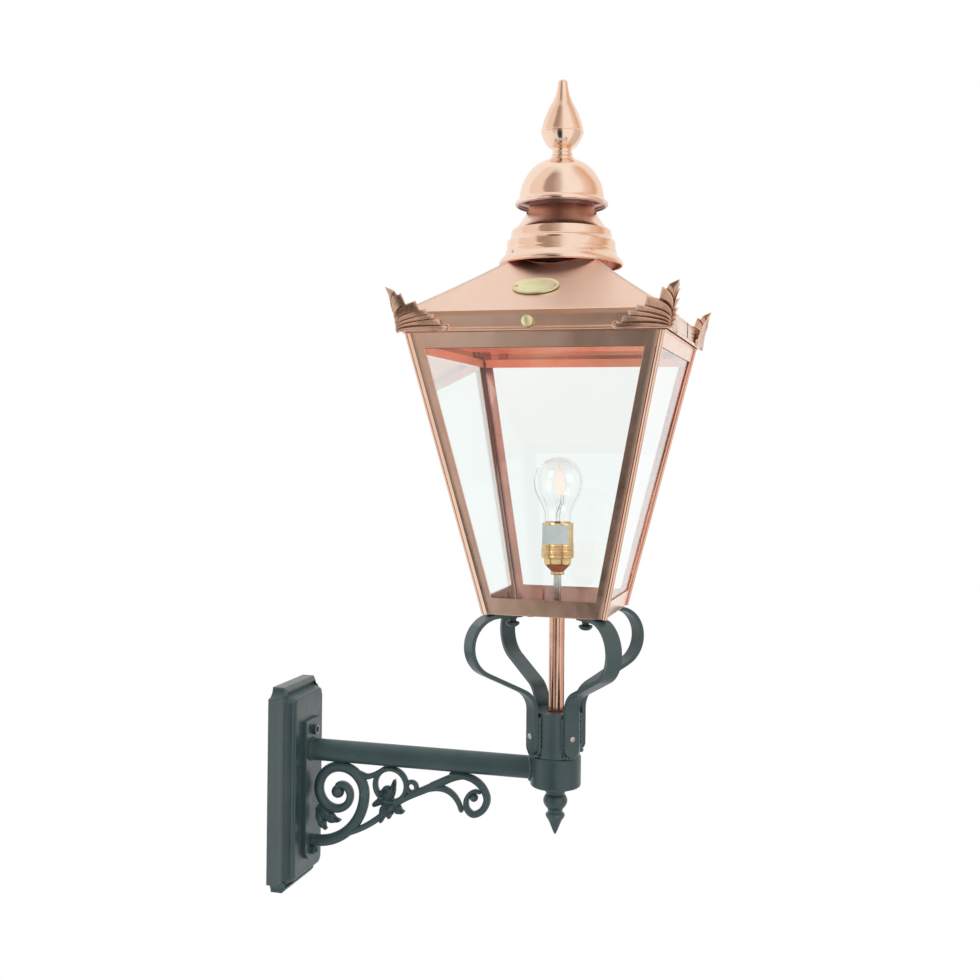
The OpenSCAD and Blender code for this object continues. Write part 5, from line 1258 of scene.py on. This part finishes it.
for k in range(4):
    settle(leaf(k), leaf_copper, ROOF, [f"corner_leaf_{k + 1}"], angle=60)
    turn = about_axis(90 * k)
    fold_line = []
    for z in np.linspace(-1.2, 48.5, 30):
        w = ROOF_HALF + min(13.3, 2.4 + 11.2 * (max(z, 0) / LEAF_UP) ** 2)
        fold_line.append(turn @ Vector((w, -w, FASCIA_Z + z)))
    fold_form = bead(f"leaf_fold_{k + 1}", fold_line, list(np.linspace(1.5, 0.5, 30)), False, 12)
    settle(fold_form, copper, ROOF, angle=60)
    edge_columns = [(-1, c) for c in leaf_columns()] + [(1, c) for c in leaf_columns()[-2::-1]]
    rim = [turn @ Vector(leaf_half(s, column, 0.995, 0.5)) for s, column in edge_columns]
    settle(bead(f"leaf_edge_{k + 1}", rim, 0.55, False, 8), copper, ROOF, angle=60)
    for s in (-1, 1):
        curl = []
        for a in np.radians(np.linspace(-100, 330, 40)):
            size = 4.6 - 0.55 * (a + 1.75)
            u, z, w = 55.5 + size * math.cos(a), 4.9 + size * math.sin(a), ROOF_HALF + 2.6
            p = ROOF_HALF - u
            curl.append(turn @ Vector((w, -p, FASCIA_Z + z) if s > 0 else (p, -w, FASCIA_Z + z)))
        curl_form = bead(f"leaf_curl_{k + 1}_{(s + 3) // 2}", curl, list(np.linspace(1.25, 0.6, 40)),
                         False, 9)
        settle(curl_form, copper, ROOF, angle=60)

# Plaque. A blank oval plate of pale brass with a raised rim, which lies flat on the front slope. Two
# copper rivets fix it.
PLAQUE_A, PLAQUE_B, PLAQUE_LEFT = 27.5, 18.5, 5.0
PLAQUE_V = (ROOF_HALF - 107) / math.cos(math.radians(SLOPE))
on_slope = (Matrix.Translation((AXIS - PLAQUE_LEFT, -ROOF_HALF, FOLD_Z))
            @ Matrix.Rotation(math.radians(SLOPE), 4, "X") @ Matrix.Translation((0, PLAQUE_V, 0)))
pale_tones = [(0.80, 0.77, 0.46), (0.87, 0.85, 0.53), (0.92, 0.91, 0.62)]
pale_brass = finish_material("pale_brass", pale_tones, (0.28, 0.44), metallic=1.0, mottle=50.0, fine=900.0,
                             fine_bump=0.05)
oval = [(PLAQUE_A, 0.05), (PLAQUE_A, 1.1), (27.3, 1.9), (26.8, 2.15), (26.2, 2.1), (25.5, 1.55),
        (24.6, 1.5), (14, 1.62), (5, 1.7)]
vertices = []
for r, z in oval:
    short = max(0.5, PLAQUE_B - (PLAQUE_A - r) * 0.78)
    for a in np.linspace(0, 2 * math.pi, 96, endpoint=False):
        vertices.append(on_slope @ Vector((r * math.cos(a), short * math.sin(a), z)))
plaque = put("oval_plaque", vertices, ring_faces(len(oval), 96))
settle(plaque, pale_brass, ROOF, ["plaque"], angle=40)
stub_side = [(0, 0.1), (1, 0.1), (1, 1.6), (1.9, 1.7), (1.85, 2.1), (1.3, 2.7), (0, 2.95)]
for k, x in enumerate((-22.5, 22.5)):
    place = on_slope @ Matrix.Translation((x, 0, 0))
    stub = turned(f"plaque_rivet_{k + 1}", stub_side, place, 24, closed=False)
    settle(stub, copper, ROOF, ["plaque_rivets"] if k == 0 else (), angle=50)

# Thumb knob. A milled brass screw with a dished face, turned by finger and thumb in the front fascia to
# free the roof.
KNOB_X, KNOB_Z, NOTCHES, NOTCH_DEPTH = AXIS - 2.4, 578.5, 40, 0.28
knob_place = Matrix.Translation((KNOB_X, -ROOF_HALF, KNOB_Z)) @ Matrix.Rotation(math.pi / 2, 4, "X")
knob_side = [(0, -4.6), (1.95, -4.6), (1.95, 0.2), (3.6, 0.2), (3.6, 1.6), (5.9, 1.8), (6.55, 2.5),
             (6.6, 3.2), (6.6, 4.4), (6.6, 5.7), (6.3, 6.4), (5.7, 6.85), (4.9, 6.95), (4.4, 6.6),
             (3.9, 6.2), (0, 6.1)]
knob = turned("milled_knob", knob_side, knob_place, 160, closed=False)
for v in knob.data.vertices:
    x, z, depth = v.co.x * 1000 - KNOB_X, v.co.z * 1000 - KNOB_Z, -v.co.y * 1000 - ROOF_HALF
    r = math.hypot(x, z)
    if r > 6.3 and 2.6 < depth < 6.2:
        cut = NOTCH_DEPTH * (0.5 - 0.5 * math.cos(NOTCHES * math.atan2(z, x)))
        v.co.x, v.co.z = (KNOB_X + x * (r - cut) / r) * 0.001, (KNOB_Z + z * (r - cut) / r) * 0.001
settle(knob, pale_brass, "thumb_knob", ["thumb_knob"], angle=40)

# Camera, floor and light, as in a white studio tent: the camera stands in front of a gap in the tent,
# which shows as the darker bands in the copper. Three soft boxes light it, and a small lamp inside the
# lantern throws a little light up at the inside of the roof.
eye = bpy.data.cameras.new("front_right")
eye.lens, eye.sensor_width, eye.shift_y = 45.587, 36.0, -0.051
stand = bpy.data.objects.new("front_right", eye)
bpy.context.scene.collection.objects.link(stand)
rightward = Vector((0.96150545, 0.27457273, 0.01082074))
upward = Vector((-0.0093024, -0.0068314, 0.9999334))
onward = Vector((-0.27462836, 0.96154207, 0.00401425))
turned_frame = Matrix((rightward, upward, -onward)).transposed().to_4x4()
turned_frame.translation = (0.69514, -1.48781, 0.44048)
stand.matrix_world = turned_frame
bpy.context.scene.camera = stand

FLOOR_X, FLOOR_Z, FLOOR_SIDES = 200, -1000, 96
floor_points = [(FLOOR_X + r * math.cos(a), r * math.sin(a), FLOOR_Z) for r in (1500, 800, 200)
                for a in np.linspace(0, 2 * math.pi, FLOOR_SIDES, endpoint=False)]
floor_middle = list(range(2 * FLOOR_SIDES, 3 * FLOOR_SIDES))
floor = put("studio_floor", floor_points, ring_faces(3, FLOOR_SIDES, capped=False) + [floor_middle])
floor_grey = finish_material("studio_floor_paint", [(0.78, 0.78, 0.78), (0.82, 0.82, 0.82)],
                             (0.6, 0.8), mottle=2.0, fine=200.0, fine_bump=0.02)
floor.data.materials.append(floor_grey)

soft_boxes = [("key_box", 1.2, 22, (-0.9, -1.7, 1.9)), ("fill_box", 1.4, 9, (2.2, -0.7, 0.9)),
              ("top_box", 1.3, 10, (0.35, 0.5, 2.3))]
for name, size, power, place in soft_boxes:
    lamp = bpy.data.lights.new(name, "AREA")
    lamp.size, lamp.energy = size, power
    box = bpy.data.objects.new(name, lamp)
    box.location = place
    box.rotation_euler = (Vector((0.3, 0, 0.4)) - Vector(place)).to_track_quat("-Z", "Y").to_euler()
    box.visible_glossy = False
    bpy.context.scene.collection.objects.link(box)

glow_lamp = bpy.data.lights.new("upward_glow", "AREA")
glow_lamp.size, glow_lamp.energy, glow_lamp.color = 0.12, 0.38, (1.0, 0.88, 0.76)
glow_box = bpy.data.objects.new("upward_glow", glow_lamp)
glow_box.location = (AXIS * 0.001, 0, 0.445)
glow_box.rotation_euler = (math.pi, 0, 0)
glow_box.visible_camera = glow_box.visible_glossy = glow_box.visible_transmission = False
bpy.context.scene.collection.objects.link(glow_box)

world = bpy.data.worlds.new("white_tent")
bpy.context.scene.world = world
world.use_nodes = True
tree = world.node_tree
tree.nodes.clear()
join = tree.links.new


def world_node(kind, **settings):
    made = tree.nodes.new("ShaderNode" + kind)
    for key, value in settings.items():
        setattr(made, key, value)
    return made


way = world_node("TexCoord")
split = world_node("SeparateXYZ")
join(way.outputs["Generated"], split.inputs[0])
heading = world_node("Math", operation="ARCTAN2")
join(split.outputs["Y"], heading.inputs[0])
join(split.outputs["X"], heading.inputs[1])
share = world_node("MapRange")
share.inputs["From Min"].default_value = -math.pi
share.inputs["From Max"].default_value = math.pi
join(heading.outputs[0], share.inputs["Value"])


def tent_band(stops):
    """The tent's light round the object, from (degrees, brightness, warmth) stops."""
    bands = world_node("ValToRGB")
    bands.color_ramp.interpolation = "EASE"
    elements = bands.color_ramp.elements
    while len(elements) < len(stops):
        elements.new(0.5)
    for element, (angle, value, warmth) in zip(elements, stops):
        element.position = (angle + 180) / 360
        element.color = (value, value * (1 - 0.6 * warmth), value * (1 - warmth), 1)
    join(share.outputs["Result"], bands.inputs["Fac"])
    return bands.outputs["Color"]


def band_edge(start, end):
    """How far a direction has passed from one height to another, eased at both ends."""
    edge = world_node("MapRange", interpolation_type="SMOOTHSTEP")
    edge.inputs["From Min"].default_value = start
    edge.inputs["From Max"].default_value = end
    join(split.outputs["Z"], edge.inputs["Value"])
    return edge.outputs["Result"]


def blend(share_of_second, first, second):
    """Goes from one colour to another; each is a fixed colour or comes from a node."""
    mix = world_node("Mix", data_type="RGBA")
    join(share_of_second, mix.inputs[0])
    for socket, colour in ((mix.inputs[6], first), (mix.inputs[7], second)):
        if isinstance(colour, tuple):
            socket.default_value = colour
        else:
            join(colour, socket)
    return mix.outputs[2]


low_band = tent_band([(-180, 0.98, 0), (-137, 0.98, 0), (-130, 0.62, 0.05), (-113, 0.68, 0.05),
                      (-108, 0.54, 0.06), (-104.5, 0.42, 0.07), (-100, 0.14, 0.07), (-90, 0.10, 0.07),
                      (-82, 0.30, 0.05), (-74, 1.0, 0), (-20, 1.0, 0), (0, 0.72, 0.2), (40, 0.72, 0.2),
                      (56, 1.0, 0), (180, 1.0, 0)])
ground_band = tent_band([(-180, 0.96, 0), (-137, 0.96, 0), (-130, 0.88, 0.04), (-113, 0.92, 0.05),
                         (-109, 0.66, 0.06), (-106.8, 0.10, 0.07), (-103, 0.02, 0.07), (-90, 0.02, 0.07),
                         (-82, 0.05, 0.05), (-72, 1.0, 0), (-20, 1.0, 0), (0, 0.72, 0.2), (40, 0.72, 0.2),
                         (56, 1.0, 0), (180, 1.0, 0)])
high_band = tent_band([(-180, 0.91, 0.18), (-133, 0.92, 0.17), (-129, 0.44, 0.34), (-106, 0.42, 0.34),
                       (-90, 0.60, 0.28), (-66, 1.0, 0), (-24, 1.0, 0), (0, 0.88, 0.32), (30, 0.74, 0.5),
                       (46, 0.96, 0.1), (180, 1.0, 0)])
lower = blend(band_edge(-0.34, -0.44), low_band, ground_band)
level = blend(band_edge(0.10, 0.17), lower, high_band)
tent = blend(band_edge(0.90, 0.98), level, (1.0, 0.99, 0.97, 1))
path = world_node("LightPath")
soft = blend(path.outputs["Is Glossy Ray"], (0.58, 0.585, 0.59, 1), tent)
clear = world_node("Math", operation="MAXIMUM")
join(path.outputs["Is Camera Ray"], clear.inputs[0])
join(path.outputs["Is Transmission Ray"], clear.inputs[1])
whole = blend(clear.outputs[0], soft, (1, 1, 1, 1))
back = world_node("Background")
join(whole, back.inputs["Color"])
out = world_node("OutputWorld")
join(back.outputs[0], out.inputs[0])
bpy.context.scene.view_settings.view_transform = "Standard"
